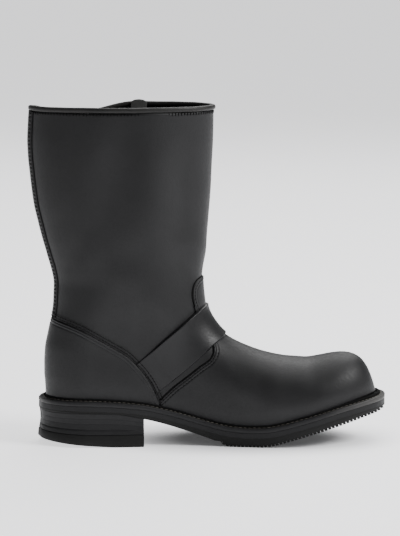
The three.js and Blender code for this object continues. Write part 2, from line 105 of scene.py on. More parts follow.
# share of the front line, height of the back of the same ring
RISE = np.array([(0, 41.1), (0.1, 51.5), (0.22, 67.5), (0.364, 93.5), (0.45, 113.5), (0.52, 129.5),
    (0.605, SHAFT_FOOT), (1, SHAFT_TOP)])

# side-view lines of the pieces on the upper: x, height
COUNTER_SEAM = np.array([(4.7, 111.3), (10.5, 109.8), (21.7, 106.5), (28.7, 103.8), (34.9, 100.7), (41.9, 96.7),
    (56, 88.4), (70, 79.6), (77, 72.8), (85.8, 62.3), (92.8, 50.6), (97.6, 39.5)])
STRAP_TOP = np.array([(77.9, 73.1), (92.9, 85.4), (108.6, 99.5), (124.8, 112.8), (134, 119.1), (142.2, 122.7)])
STRAP_UNDER = np.array([(95.4, 46.1), (108.7, 56.5), (119.9, 65.8), (133.2, 77.4), (146, 87.6), (155.4, 93.0)])
VAMP_EDGE = np.array([(98.6, 39.9), (110.5, 51.2), (121.9, 60.1), (133.2, 69), (144.6, 77.9), (146.3, 82.2),
    (146.1, 86.3), (141.5, 97), (135.4, 109.5), (131.6, 119.1), (129.1, 127.8), (129.1, 134.3), (131.2, 140.3),
    (134.8, 144.5), (137.6, 146.7)])

SHIFT = Vector((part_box("upper")[1].x - LENGTH / 1000, sum(c.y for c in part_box("backstay")) / 2, 0.0))


def soft(a, low, high):
    s = np.clip((a - low) / (high - low), 0, 1)
    return s * s * (3 - 2 * s)


def round_off(t, power):
    return np.maximum(0, 1 - (1 - np.clip(t, 0, 1)) ** power) ** (1 / power)


def curve(table, a, column=1, steady=True):
    """A smooth line through two columns of a table, with or without overshoot."""
    xs, ys = table[:, 0], table[:, column]
    h = np.diff(xs)
    d = np.diff(ys) / h
    m = np.empty(len(xs))
    m[0], m[-1] = d[0], d[-1]
    d0, d1, h0, h1 = d[:-1], d[1:], h[:-1], h[1:]
    if steady:
        w0, w1 = 2 * h1 + h0, h1 + 2 * h0
        same = d0 * d1 > 0
        safe0, safe1 = np.where(same, d0, 1), np.where(same, d1, 1)
        m[1:-1] = np.where(same, (w0 + w1) / (w0 / safe0 + w1 / safe1), 0)
    else:
        m[1:-1] = (h1 * d0 + h0 * d1) / (h0 + h1)
    a = np.clip(a, xs[0], xs[-1])
    k = np.clip(np.searchsorted(xs, a, side="right") - 1, 0, len(xs) - 2)
    hk = h[k]
    s = (a - xs[k]) / hk
    return ((2 * s**3 - 3 * s**2 + 1) * ys[k] + (s**3 - 2 * s**2 + s) * hk * m[k]
            + (-2 * s**3 + 3 * s**2) * ys[k + 1] + (s**3 - s**2) * hk * m[k + 1])


_line = FRONT * (LENGTH, 1)
_run = np.concatenate([[0], np.cumsum(np.hypot(*np.diff(_line, axis=0).T))])
_run /= _run[-1]
FRONT_X = np.column_stack([_run, _line[:, 0]])
FRONT_Z = np.column_stack([_run, _line[:, 1]])
_share = np.linspace(0, 1, 901)
LINE_X, LINE_Z = curve(FRONT_X, _share, 1, False), curve(FRONT_Z, _share, 1, False)
ANKLE = 300 + int(np.argmin(LINE_X[300:]))
ANKLE_Z = float(LINE_Z[ANKLE])
RISING = 300 + int(np.argmax(LINE_Z[300:] >= 79.5))


def feather(x):
    return curve(FEATHER, x / LENGTH)


def back_at(z):
    return curve(BACK, z)


def ridge(x):
    return np.where(x <= LINE_X[ANKLE], 1e4, np.interp(x, LINE_X[ANKLE::-1], LINE_Z[ANKLE::-1]))


def front_at(z):
    return np.interp(z, LINE_Z[RISING:], LINE_X[RISING:])


# the strap and the tongue meet their other halves on the front line
for _row, _height in ((STRAP_TOP, 122.3), (STRAP_UNDER, 93.4), (VAMP_EDGE, 147.0)):
    _row[-1] = front_at(_height), _height


def centre_line(x, z):
    return -7 * soft(x / LENGTH, 0.6, 1) * (1 - soft(z, 81.5, 121.5))


_ax, _az = LINE_X[240:681:5], LINE_Z[240:681:5]


def beside_front(x, z):
    """Distance from points of the side view to the front line at the instep and ankle."""
    best = np.full(x.shape, 1e9)
    for ax, az, bx, bz in zip(_ax, _az, np.diff(_ax), np.diff(_az)):
        s = np.clip(((x - ax) * bx + (z - az) * bz) / (bx * bx + bz * bz), 0, 1)
        best = np.minimum(best, np.hypot(x - ax - s * bx, z - az - s * bz))
    return best


def half_width(x, z, far):
    """Half-width of the upper at a point of the side view."""
    foot = BALL_WIDTH * np.where(far, curve(PLAN, x / LENGTH, 2), curve(PLAN, x / LENGTH, 1))
    foot = foot * round_off((LENGTH - x) / 60, 2.15)
    turn = soft(z, 63.5, SHAFT_FOOT)
    wide = foot * (1 - turn) + curve(SHAFT, z, 1) * turn
    base, top, cap = feather(x), ridge(x), curve(SHAFT, z, 3)
    down = np.maximum(top - z, 1e-6)
    high = np.maximum(top - base, 1e-6)
    deep = 1 / (1 / high**4 + 1 / cap**4) ** 0.25
    above = soft(z, 81.5, 99.5)
    ahead = np.maximum(front_at(z) - x, 1e-6)
    below = 1 - soft(z, ANKLE_Z - 12, ANKLE_Z)
    near = 1 / np.sqrt(below / down**2 + above / ahead**2 + 1e-12)
    x, z, near = (np.array(a, float) for a in np.broadcast_arrays(x, z, near))
    beside = (1 - soft(x, 150, 185)) * (1 - soft(z, SHAFT_FOOT, SHAFT_FOOT + 24))
    there = (beside > 0) & (x > 60)
    near[there] = (np.minimum(near, 200) * (1 - beside))[there] + beside_front(x[there], z[there]) * beside[there]
    dome = round_off(near / (deep * (1 - above) + cap * above), 2.25 - 0.25 * turn)
    heel = round_off(np.maximum(x - back_at(z), 0) / curve(SHAFT, z, 2), 2.2 - 0.2 * turn)
    tuck = 1 - 0.07 * (1 - np.clip((z - base) / 16, 0, 1)) ** 2
    return wide * dome * heel * tuck


def collar_dip(x, far):
    return np.where(far, -7 * (1 - soft(x, 38, 80)) * soft(x, -16, 12), 0.0)


def surface(share, turn):
    """Points of the upper's outside: share along the front line, turn from 0 at the back, near side first."""
    s, t = np.broadcast_arrays(np.clip(share, 0, 1), np.asarray(turn, float) % 1)
    far = t > 0.5
    u = (1 - np.cos(2 * np.pi * t)) / 2
    zb = curve(RISE, s)
    xb = back_at(zb)
    xf, zf = curve(FRONT_X, s, 1, False), curve(FRONT_Z, s, 1, False)
    x = xb + (xf - xb) * u
    level = feather(xb) * (1 - u) + feather(xf) * u
    z = zb + (zf - zb) * u + (1 - soft(zb, 41.1, SHAFT_FOOT)) * (feather(x) - level)
    y = centre_line(x, z) + np.where(far, 1, -1) * half_width(x, z, far)
    return np.stack([x, y, z + collar_dip(x, far) * soft(s, 0.9, 1)], -1)


def outward(share, turn):
    e = 0.0015
    a = surface(np.asarray(share) + e, turn) - surface(np.asarray(share) - e, turn)
    b = surface(share, np.asarray(turn) + e) - surface(share, np.asarray(turn) - e)
    n = np.cross(b, a)
    return n / np.maximum(np.linalg.norm(n, axis=-1, keepdims=True), 1e-9)


def place_on(x, z):
    """Share and turn, on the near half, of a point of the side view."""
    x, z = np.broadcast_arrays(np.asarray(x, float), np.asarray(z, float))
    low, high = np.zeros(x.shape), np.ones(x.shape)

    def level_at(s):
        zb = curve(RISE, s)
        xb = back_at(zb)
        xf, zf = curve(FRONT_X, s, 1, False), curve(FRONT_Z, s, 1, False)
        u = (x - xb) / (xf - xb)
        level = feather(xb) * (1 - u) + feather(xf) * u
        return u, zb + (zf - zb) * u + (1 - soft(zb, 41.1, SHAFT_FOOT)) * (feather(x) - level)

    for _ in range(40):
        mid = (low + high) / 2
        u, zz = level_at(mid)
        up = (zz < z) & (u <= 1.0)
        low, high = np.where(up, mid, low), np.where(up, high, mid)
    s = (low + high) / 2
    u = np.clip(level_at(s)[0], 0, 1)
    return s, np.arccos(1 - 2 * u) / (2 * np.pi)


# distances of the stitch rows from an overlay's edge, and from the backstay's
SEAM_ROWS = (1.7, 4.1)
BACKSTAY_SEAMS = (1.8, 4.2)

# creases and soft hollows: x, height, length along, width across, slope in degrees, depth in mm,
# and the side: -1 near, 1 far, 0 both
FOLDS = [
    (88, 214, 130, 18, 88, -2.6, 0),
    (52, 218, 120, 15, 86, 1.5, 0),
    (122, 206, 120, 14, 93, 1.7, 0),
    (22, 232, 110, 13, 82, 0.6, 0),
    (16, 160, 60, 9, 62, 0.7, 0),
    (98, 124, 62, 16, -44, -3.0, 0),
    (130, 152, 60, 12, -50, 1.8, 0),
    (60, 138, 80, 13, -10, 0.7, 0),
    (126, 176, 40, 8, -30, -0.6, 0),
    (52, 158, 70, 12, 30, 0.5, 0),
    (58, 80, 60, 12, -22, 0.6, 0),
    (174, 64, 54, 8, -40, 0.5, 0),
    (198, 56, 60, 9, -22, 0.4, 0),
    (214, 54, 50, 8, -8, -0.5, 0),
]


def folds(points, depth=1.0):
    """How far the leather sinks (minus) or rises at each point, in mm."""
    x, y, z = points[..., 0], points[..., 1], points[..., 2]
    total = np.zeros(x.shape)
    for cx, cz, run, wide, slope, deep, side in FOLDS:
        a = math.radians(slope)
        along = (x - cx) * math.cos(a) + (z - cz) * math.sin(a)
        across = -(x - cx) * math.sin(a) + (z - cz) * math.cos(a)
        bend = across + 0.06 * along**2 / run
        hollow = np.exp(-(along / (run / 2)) ** 2) * (np.exp(-(bend / wide) ** 2)
                                                      - 0.45 * np.exp(-((np.abs(bend) - 1.6 * wide) / wide) ** 2))
        pick = 1.0 if side == 0 else soft(y * side, -6, 6)
        total -= deep * hollow * pick
    return total * depth


def on_leather(share, turn, height):
    """Points at a height above the upper's outside, with the folds in them."""
    p, n = surface(share, turn), outward(share, turn)
    edge = soft(np.asarray(share) * 1.0, 0.0, 0.05)
    rise = np.asarray(height) + folds(p, sizes().fold_depth) * edge
    return p + n * rise[..., None], n


# Meshes

def sizes():
    return bpy.context.scene.boot_sizes


def colours():
    return bpy.context.scene.boot_colours


def to_row(points):
    return np.asarray(points, float).reshape(-1, 3) / 1000 + np.array(SHIFT)


def place_object(name, data):
    """A new object with this data, linked into the scene."""
    obj = bpy.data.objects.new(name, data)
    bpy.context.scene.collection.objects.link(obj)
    return obj


def make(name, points, faces, material, smooth=True):
    """A mesh object from points in mm and faces, at the origin, with its place in its mesh."""
    mesh = bpy.data.meshes.new(name)
    mesh.from_pydata(to_row(points).tolist(), [], [list(map(int, f)) for f in faces])
    mesh.materials.append(material)
    mesh.polygons.foreach_set("use_smooth", [smooth] * len(mesh.polygons))
    mesh.update()
    return place_object(name, mesh)


def sharp_edges(obj, degrees):
    """Shades smooth only where faces meet at less than an angle."""
    obj.data.set_sharp_from_angle(angle=math.radians(degrees))


def mend_normals(obj):
    """Merges doubles and turns all faces outwards."""
    bm = bmesh.new()
    bm.from_mesh(obj.data)
    bmesh.ops.remove_doubles(bm, verts=bm.verts, dist=1e-6)
    bmesh.ops.dissolve_degenerate(bm, dist=1e-7, edges=bm.edges)
    bmesh.ops.recalc_face_normals(bm, faces=bm.faces)
    bm.to_mesh(obj.data)
    bm.free()
    obj.data.update()


def sheet_faces(rows, columns, start=0, turned=False):
    """Quads of a grid of points."""
    i, j = np.meshgrid(np.arange(rows - 1), np.arange(columns - 1), indexing="ij")
    a = start + i * columns + j
    quads = np.stack([a, a + 1, a + columns + 1, a + columns], -1).reshape(-1, 4)
    return quads[:, ::-1] if turned else quads


def closed_sheet(name, top, under, material):
    """A thin closed piece between two grids of points of the same size."""
    rows, columns = top.shape[:2]
    count = rows * columns
    grid = np.arange(count).reshape(rows, columns)
    rim = np.concatenate([grid[0, :-1], grid[:-1, -1], grid[-1, :0:-1], grid[:0:-1, 0]])
    after = np.roll(rim, -1)
    walls = np.stack([rim, rim + count, after + count, after], -1)
    faces = np.concatenate([sheet_faces(rows, columns), sheet_faces(rows, columns, count, True), walls])
    points = np.concatenate([top.reshape(-1, 3), under.reshape(-1, 3)])
    obj = make(name, points, faces, material)
    mend_normals(obj)
    return obj


def ringed(name, rings, material, closed=True, caps=False):
    """Rings of points joined in order into a tube; closed joins the last ring to the first."""
    count, around = rings.shape[:2]
    i = np.arange(count if closed else count - 1)
    j = np.arange(around)
    ii, jj = np.meshgrid(i, j, indexing="ij")
    nxt_i, nxt_j = (ii + 1) % count, (jj + 1) % around
    faces = np.stack([ii * around + jj, ii * around + nxt_j, nxt_i * around + nxt_j, nxt_i * around + jj], -1)
    faces = [list(f) for f in faces.reshape(-1, 4)]
    if caps:
        faces.append(list(range(around))[::-1])
        faces.append([(count - 1) * around + k for k in range(around)])
    obj = make(name, rings, faces, material)
    mend_normals(obj)
    return obj


def plan(distance, stations):
    """Near and far points of the feather outline in plan, moved out by a distance."""
    u = (1 - np.cos(np.pi * np.arange(stations + 1) / stations)) / 2

    def edge(v, far):
        x = LENGTH * np.clip(v, 0, 1)
        w = half_width(np.minimum(x, LENGTH - 1e-6), feather(x), far)
        return np.stack([x, centre_line(x, 0) + (w if far else -w)], -1)

    sides = []
    for far in (False, True):
        p = edge(u, far)
        d = edge(u + 0.002, far) - edge(u - 0.002, far)
        d /= np.linalg.norm(d, axis=1, keepdims=True)
        n = np.stack([-d[:, 1], d[:, 0]], -1) if far else np.stack([d[:, 1], -d[:, 0]], -1)
        n[0], n[-1] = (-1, 0), (1, 0)
        p[0, 1], p[-1, 1] = centre_line(p[0, 0], 0), centre_line(p[-1, 0], 0)
        out = distance + (TOE_OUT * soft(p[:, 0] / LENGTH, 0.86, 1) if distance > 0 else 0 * p[:, 0])
        sides.append(p + n * out[:, None])
    return sides


def loop_of(distance, height, stations=110):
    """The closed outline at a distance, at a height that depends on x."""
    near, far = plan(distance, stations)
    flat = np.concatenate([near, far[-2:0:-1]])
    return np.column_stack([flat, height(flat[:, 0])])


def ladder(count, start, turned):
    """Quads across an outline made by loop_of, from its near to its far half."""
    faces = []
    for i in range(count // 2):
        quad = [start + i, start + i + 1, start + (count - i - 1) % count, start + (count - i) % count]
        quad = [q for k, q in enumerate(quad) if q not in quad[:k]]
        faces.append(quad[::-1] if turned else quad)
    return faces


def layer(name, rows, material, stations=110, smooth_below=40):
    """A layer of the sole. Each row is a plan distance, a line of heights and a step from it, from the top down."""
    loops = [loop_of(d, lambda x: line(x) + step, stations) for d, line, step in rows]
    n = len(loops[0])
    faces = []
    for r in range(len(loops) - 1):
        a, b = r * n, (r + 1) * n
        j = np.arange(n)
        k = (j + 1) % n
        faces += np.stack([a + j, b + j, b + k, a + k], -1).tolist()
    faces += ladder(n, 0, False) + ladder(n, (len(loops) - 1) * n, True)
    obj = make(name, np.concatenate(loops), faces, material)
    mend_normals(obj)
    sharp_edges(obj, smooth_below)
    return obj


def cut_box(obj, low, high, keep):
    """Keeps (INTERSECT) or removes (DIFFERENCE) what lies in a box, in mm."""
    corners = [(x, y, z) for x in (low[0], high[0]) for y in (low[1], high[1]) for z in (low[2], high[2])]
    faces = [(0, 1, 3, 2), (4, 6, 7, 5), (0, 4, 5, 1), (2, 3, 7, 6), (0, 2, 6, 4), (1, 5, 7, 3)]
    knife = make("knife", corners, faces, obj.data.materials[0], smooth=False)
    mend_normals(knife)
    cut = obj.modifiers.new("cut", "BOOLEAN")
    cut.operation, cut.object, cut.solver = keep, knife, "EXACT"
    return finish_mesh(obj, knife)


def finish_mesh(obj, *helpers):
    """Turns an object's modifiers into plain mesh and removes the helpers."""
    graph = bpy.context.evaluated_depsgraph_get()
    mesh = bpy.data.meshes.new_from_object(obj.evaluated_get(graph))
    obj.modifiers.clear()
    obj.data = mesh
    for helper in helpers:
        bpy.data.objects.remove(helper)
    return obj


# Materials

def linear(hex_colour):
    """An sRGB colour such as 2c2c2e as linear red, green, blue and alpha."""
    parts = [int(hex_colour[i:i + 2], 16) / 255 for i in (0, 2, 4)]
    return [c / 12.92 if c <= 0.04045 else ((c + 0.055) / 1.055) ** 2.4 for c in parts] + [1.0]


def tone(colour):
    return list(colour) + [1.0] if len(colour) == 3 else list(colour)


def put(tree, kind, settings=None, links=None):
    """Adds a node, sets its inputs or properties, and links sockets to inputs."""
    node = tree.nodes.new(kind)
    for key, value in (settings or {}).items():
        if isinstance(key, int) or key in node.inputs:
            node.inputs[key].default_value = value
        else:
            setattr(node, key, value)
    for key, socket in (links or {}).items():
        tree.links.new(socket, node.inputs[key])
    return node


def noise(tree, place, scale, detail=2.0, roughness=0.5):
    settings = {"Scale": scale, "Detail": detail, "Roughness": roughness}
    return put(tree, "ShaderNodeTexNoise", settings, {"Vector": place})


def relief(tree, strength, distance, height, normal=None):
    """A bump of a distance in metres, over an earlier one if that is given."""
    links = {"Height": height} if normal is None else {"Height": height, "Normal": normal}
    return put(tree, "ShaderNodeBump", {"Strength": strength, "Distance": distance}, links)


def blend(tree, first, second, share):
    """A mix of two colours."""
    return put(tree, "ShaderNodeMix", {"data_type": "RGBA", 6: first, 7: second}, {0: share})


def remap(tree, value, low, high, to_low=0.0, to_high=1.0):
    return put(tree, "ShaderNodeMapRange", {"From Min": low, "From Max": high, "To Min": to_low, "To Max": to_high},
               {"Value": value})


def new_material(name):
    """A material with its tree, its shader and the place on the object."""
    material = bpy.data.materials.get(name) or bpy.data.materials.new(name)
    material.use_nodes = True
    tree = material.node_tree
    tree.nodes.clear()
    shader = tree.nodes.new("ShaderNodeBsdfPrincipled")
    out = tree.nodes.new("ShaderNodeOutputMaterial")
    tree.links.new(shader.outputs[0], out.inputs[0])
    return material, tree, shader, put(tree, "ShaderNodeTexCoord").outputs["Object"]


def leather(name, colour, worn, roughness=0.5, grain_mm=0.55, grain=0.25):
    """Full-grain leather, drum-dyed and waxed: a fine pebble with soft shade changes and a low, broad sheen."""
    material, tree, shader, place = new_material(name)
    # pores and pebble: cells of about half a millimetre
    pebble = put(tree, "ShaderNodeTexVoronoi",
                 {"feature": "SMOOTH_F1", "Scale": 1000 / (grain_mm * 2), "Smoothness": 0.6}, {"Vector": place})
    # soft patches a few centimetres wide
    patches = noise(tree, place, 22.0, 3.0, 0.55)
    fine = noise(tree, place, 420.0, 4.0, 0.6)
    spread = remap(tree, patches.outputs["Fac"], 0.35, 0.7)
    tint = blend(tree, tone(colour), tone(worn), spread.outputs[0])
    tree.links.new(tint.outputs[2], shader.inputs["Base Color"])
    rough = remap(tree, fine.outputs["Fac"], 0.3, 0.7, roughness - 0.05, roughness + 0.07)
    tree.links.new(rough.outputs[0], shader.inputs["Roughness"])
    first = relief(tree, grain, 0.00012, pebble.outputs["Distance"])
    second = relief(tree, 0.35, 0.0003, fine.outputs["Fac"], first.outputs[0])
    tree.links.new(second.outputs[0], shader.inputs["Normal"])
    shader.inputs["Specular IOR Level"].default_value = 0.27
    return material


def thread_material():
    """Bonded nylon thread: tight, black and slightly waxed, so that only its crown catches light."""
    material, tree, shader, place = new_material("bonded nylon thread")
    twist = put(tree, "ShaderNodeTexWave", {"Scale": 900.0, "Distortion": 1.0}, {"Vector": place})
    bump = relief(tree, 0.3, 0.0001, twist.outputs["Fac"])
    tree.links.new(bump.outputs[0], shader.inputs["Normal"])
    shader.inputs["Base Color"].default_value = tone(colours().thread)
    shader.inputs["Roughness"].default_value = 0.5
    shader.inputs["Specular IOR Level"].default_value = 0.12
    return material


def edge_leather(name, colour, line_mm=0.9, depth=0.4, worn=None):
    """Sole leather with a stained and dressed edge: flat layers show as fine lines running round it."""
    material, tree, shader, place = new_material(name)
    flat = put(tree, "ShaderNodeMapping", {"Scale": (0.06, 0.06, 1.0)}, {"Vector": place})
    lines = noise(tree, flat.outputs[0], 1000 / line_mm, 2.0)
    specks = noise(tree, place, 260.0, 5.0, 0.65)
    lighter = [min(1, c * 1.9) for c in colour[:3]] + [1]
    shade = blend(tree, tone(colour), lighter, specks.outputs["Fac"])
    tint = shade.outputs[2]
    if worn:
        # rubbed bare at the toe and at the back
        along = put(tree, "ShaderNodeSeparateXYZ", {}, {"Vector": place}).outputs[0]
        toe = remap(tree, along, 0.1, 0.155)
        back = remap(tree, along, -0.138, -0.148)
        ends = put(tree, "ShaderNodeMath", {"operation": "ADD", "use_clamp": True},
                   {0: toe.outputs[0], 1: back.outputs[0]})
        bare = put(tree, "ShaderNodeMix", {"data_type": "RGBA", 7: tone(worn)}, {0: ends.outputs[0], 6: tint})
        tint = bare.outputs[2]
    tree.links.new(tint, shader.inputs["Base Color"])
    rough = remap(tree, specks.outputs["Fac"], 0.3, 0.7, 0.42, 0.62)
    tree.links.new(rough.outputs[0], shader.inputs["Roughness"])
    first = relief(tree, depth, 0.00025, lines.outputs["Fac"])
    second = relief(tree, 0.3, 0.0002, specks.outputs["Fac"], first.outputs[0])
    tree.links.new(second.outputs[0], shader.inputs["Normal"])
    shader.inputs["Specular IOR Level"].default_value = 0.25
    return material


def rubber_material():
    """Oil-resistant nitrile rubber, moulded: even, deep black with a dull, slightly dusty skin."""
    material, tree, shader, place = new_material("nitrile rubber")
    skin = noise(tree, place, 700.0, 4.0, 0.6)
    dust = noise(tree, place, 60.0, 4.0)
    shade = blend(tree, tone(colours().rubber), linear("131312"), dust.outputs["Fac"])
    tree.links.new(shade.outputs[2], shader.inputs["Base Color"])
    bump = relief(tree, 0.4, 0.0002, skin.outputs["Fac"])
    tree.links.new(bump.outputs[0], shader.inputs["Normal"])
    shader.inputs["Roughness"].default_value = 0.62
    shader.inputs["Specular IOR Level"].default_value = 0.2
    return material


def webbing_material():
    """Woven cotton tape: a plain weave of about a millimetre, matt."""
    material, tree, shader, place = new_material("woven tape")
    rows = put(tree, "ShaderNodeTexWave", {"Scale": 320.0, "bands_direction": "Z"}, {"Vector": place})
    columns = put(tree, "ShaderNodeTexWave", {"Scale": 320.0, "bands_direction": "X"}, {"Vector": place})
    weave = put(tree, "ShaderNodeMath", {"operation": "MULTIPLY"}, {0: rows.outputs["Fac"], 1: columns.outputs["Fac"]})
    darker = [c * 0.5 for c in colours().tape[:3]] + [1]
    shade = blend(tree, darker, tone(colours().tape), weave.outputs[0])
    tree.links.new(shade.outputs[2], shader.inputs["Base Color"])
    bump = relief(tree, 0.6, 0.0003, weave.outputs[0])
    tree.links.new(bump.outputs[0], shader.inputs["Normal"])
    shader.inputs["Roughness"].default_value = 0.9
    return material


def upper_leather():
    return leather("waxed full-grain leather", colours().leather, colours().leather_worn, 0.5)


def dress(obj, slot, *nodes):
    """Ties a finished piece to the boot and hides the solids it stands for; its slot is not used."""
    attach(obj, "root")
    if nodes:
        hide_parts(*nodes)
    return obj


# Geometry Nodes

def new_tree(name, sizes_in):
    """A geometry tree with named inputs for sizes and the material, and the sockets of its inputs."""
    tree = bpy.data.node_groups.new(name, "GeometryNodeTree")
    kinds = [("Geometry", "NodeSocketGeometry")] + [(label, "NodeSocketFloat") for label in sizes_in]
    for label, kind in kinds + [("Material", "NodeSocketMaterial")]:
        tree.interface.new_socket(label, in_out="INPUT", socket_type=kind)
    tree.interface.new_socket("Geometry", in_out="OUTPUT", socket_type="NodeSocketGeometry")
    return tree, put(tree, "NodeGroupInput").outputs


def close_tree(tree, given, socket):
    """Ends a tree: the instances made real and given their material."""
    real = put(tree, "GeometryNodeRealizeInstances", {}, {"Geometry": socket})
    dyed = put(tree, "GeometryNodeSetMaterial", {}, {"Geometry": real.outputs[0], "Material": given["Material"]})
    put(tree, "NodeGroupOutput", {}, {"Geometry": dyed.outputs[0]})
    return tree


def row_tree():
    """Puts one stitch after another along the edges of a mesh, lying on the leather."""
    name = "stitch row"
    if name in bpy.data.node_groups:
        return bpy.data.node_groups[name]
    tree, given = new_tree(name, ("Pitch", "Length", "Width", "Height"))
    path = put(tree, "GeometryNodeMeshToCurve", {}, {"Mesh": given["Geometry"]})
    even = put(tree, "GeometryNodeResampleCurve", {"mode": "LENGTH"},
               {"Curve": path.outputs[0], "Length": given["Pitch"]})
    along = put(tree, "GeometryNodeInputTangent")
    up = put(tree, "GeometryNodeInputNamedAttribute", {"data_type": "FLOAT_VECTOR", "Name": "up"})
    lie = put(tree, "FunctionNodeAlignEulerToVector", {"axis": "X"}, {"Vector": along.outputs[0]})
    stand = put(tree, "FunctionNodeAlignEulerToVector", {"axis": "Z", "pivot_axis": "X"},
                {"Rotation": lie.outputs[0], "Vector": up.outputs[0]})
    size = put(tree, "ShaderNodeCombineXYZ", {}, {"X": given["Length"], "Y": given["Width"], "Z": given["Height"]})
    bead = put(tree, "GeometryNodeMeshUVSphere", {"Segments": 8, "Rings": 6, "Radius": 0.5})
    lie_flat = put(tree, "GeometryNodeTransform", {"Rotation": (0.0, math.pi / 2, 0.0)}, {"Geometry": bead.outputs[0]})
    smooth = put(tree, "GeometryNodeSetShadeSmooth", {}, {"Geometry": lie_flat.outputs[0]})
    sewn = put(tree, "GeometryNodeInstanceOnPoints", {},
               {"Points": even.outputs[0], "Instance": smooth.outputs[0], "Rotation": stand.outputs[0],
                "Scale": size.outputs[0]})
    return close_tree(tree, given, sewn.outputs[0])


def set_inputs(modifier, values):
    for item in modifier.node_group.interface.items_tree:
        if item.in_out == "INPUT" and item.name in values:
            modifier[item.identifier] = values[item.name]


def path_mesh(name, paths):
    """A mesh of loose edges along the points of each path."""
    points, edges = [], []
    for path, _ in paths:
        start = len(points)
        points += list(path)
        edges += [(start + i, start + i + 1) for i in range(len(path) - 1)]
    mesh = bpy.data.meshes.new(name)
    mesh.from_pydata(to_row(points).tolist(), edges, [])
    return mesh


def sew(name, paths, slot, pitch=None, width=None, material=None, length=None, height=None):
    """Rows of stitches along paths. Each path is points and upward directions, in mm."""
    mesh = path_mesh(name, paths)
    ups = np.concatenate([up for _, up in paths]).astype(float)
    mesh.attributes.new("up", "FLOAT_VECTOR", "POINT").data.foreach_set("vector", ups.ravel())
    obj = place_object(name, mesh)
    modifier = obj.modifiers.new("stitches", "NODES")
    modifier.node_group = row_tree()
    pitch = pitch or sizes().stitch_pitch
    width = width or sizes().stitch_width
    set_inputs(modifier, {"Pitch": pitch / 1000, "Length": (length or pitch * 0.72) / 1000, "Width": width / 1000,
                          "Height": (height or width * 0.7) / 1000, "Material": material or thread_material()})
    finish_mesh(obj)
    return dress(obj, slot)


# Sizes and colours

class BootSizes(bpy.types.PropertyGroup):
    """Sizes of the fine parts. The main sizes come from the frame."""
    stitch_pitch: FloatProperty(name="Stitch pitch", description="From one stitch to the next, in mm",
                                default=3.0, min=1.5, max=6)
    stitch_width: FloatProperty(name="Stitch width", description="Thickness of the thread, in mm",
                                default=0.95, min=0.3, max=1.5)
    fold_depth: FloatProperty(name="Fold depth", description="How deep the hollows of the leather are, as a factor",
                              default=1.0, min=0, max=2)
    rib_pitch: FloatProperty(name="Rib pitch", description="From one rib of the sole to the next, in mm",
                             default=3.3, min=2, max=8)
    rib_depth: FloatProperty(name="Rib depth", description="Height of the ribs of the sole, in mm",
                             default=1.7, min=0.5, max=3)
    binding_high: FloatProperty(name="Rolled edge height", description="Height of the rolled edge, in mm",
                                default=4.6, min=3, max=8)


def colour_property(name, description, hex_colour):
    return FloatVectorProperty(name=name, description=description, subtype="COLOR", size=3,
                               default=linear(hex_colour)[:3])


class BootColours(bpy.types.PropertyGroup):
    """Colours of the boot and of the floor."""
    leather: colour_property("Leather", "Main leather", "121213")
    leather_worn: colour_property("Leather, lighter", "Where wax has dried on the leather", "19191a")
    binding: colour_property("Rolled edge", "Leather of the rolled edge", "131312")
    thread: colour_property("Thread", "Sewing thread", "040404")
    sole_edge: colour_property("Sole edge", "Stained edge of the welt and midsole", "0d0d0e")
    rubber: colour_property("Rubber", "Outsole and heel piece", "0a0a0a")
    footbed: colour_property("Footbed", "Insole", "6b5a48")
    tape: colour_property("Tape", "Pull tab", "4c4c4b")
    floor: colour_property("Floor", "Floor and backdrop", "eeeef0")


# Lines on the leather

def dense(line, count):
    """A side-view line of evenly spaced, smoothed points."""
    run = np.concatenate([[0], np.cumsum(np.hypot(*np.diff(line, axis=0).T))])
    at = np.linspace(0, run[-1], count)
    return np.column_stack([curve(np.column_stack([run, line[:, k]]), at, 1, False) for k in (0, 1)])


def side_path(line, count, inward=0.0, height=0.0, far=False):
    """A side-view line laid on the leather, moved sideways in the side view by a distance: points and directions."""
    p = dense(line, count)
    d = np.gradient(p, axis=0)
    d /= np.linalg.norm(d, axis=1, keepdims=True)
    p = p + np.stack([d[:, 1], -d[:, 0]], -1) * inward
    p = p[p[:, 0] < front_at(p[:, 1])]
    s, t = place_on(p[:, 0], p[:, 1])
    return on_leather(s, 1 - t if far else t, np.full(len(s), height))


def backstay_shares(above, end):
    """Shares up the back seam, from a step above the counter's seam to an end."""
    low = place_on(np.array([5.8]), np.array([COUNTER_SEAM[0, 1] + 0.6]))[0][0]
    return np.linspace(low + above, end, 170)


def backstay_rows(shares, distances):
    """Turns from the back seam at which each distance in mm along the leather is reached, for each share."""
    find = np.linspace(0, 0.16, 200)
    p = surface(*np.meshgrid(shares, find, indexing="ij"))
    steps = np.cumsum(np.linalg.norm(np.diff(p, axis=1), axis=-1), axis=1)
    reach = np.concatenate([np.zeros((len(shares), 1)), steps], 1)
    return [np.array([np.interp(d, row, find) for row in reach]) for d in distances]


def edge_places(line, count):
    p = dense(line, count)
    return place_on(p[:, 0], p[:, 1])


def crowd(count, power=2.2):
    """Steps from 0 to 1 that crowd near 0."""
    return np.linspace(0, 1, count) ** power


def distance_to(points, line, span=160):
    """Distance in mm from each point of a grid to a dense line of points."""
    flat = points.reshape(-1, 3)
    out = np.full(len(flat), 1e3)
    for k in range(0, len(line), span):
        d = np.linalg.norm(flat[:, None] - line[None, k:k + span], axis=-1)
        out = np.minimum(out, d.min(1))
    return out.reshape(points.shape[:-1])


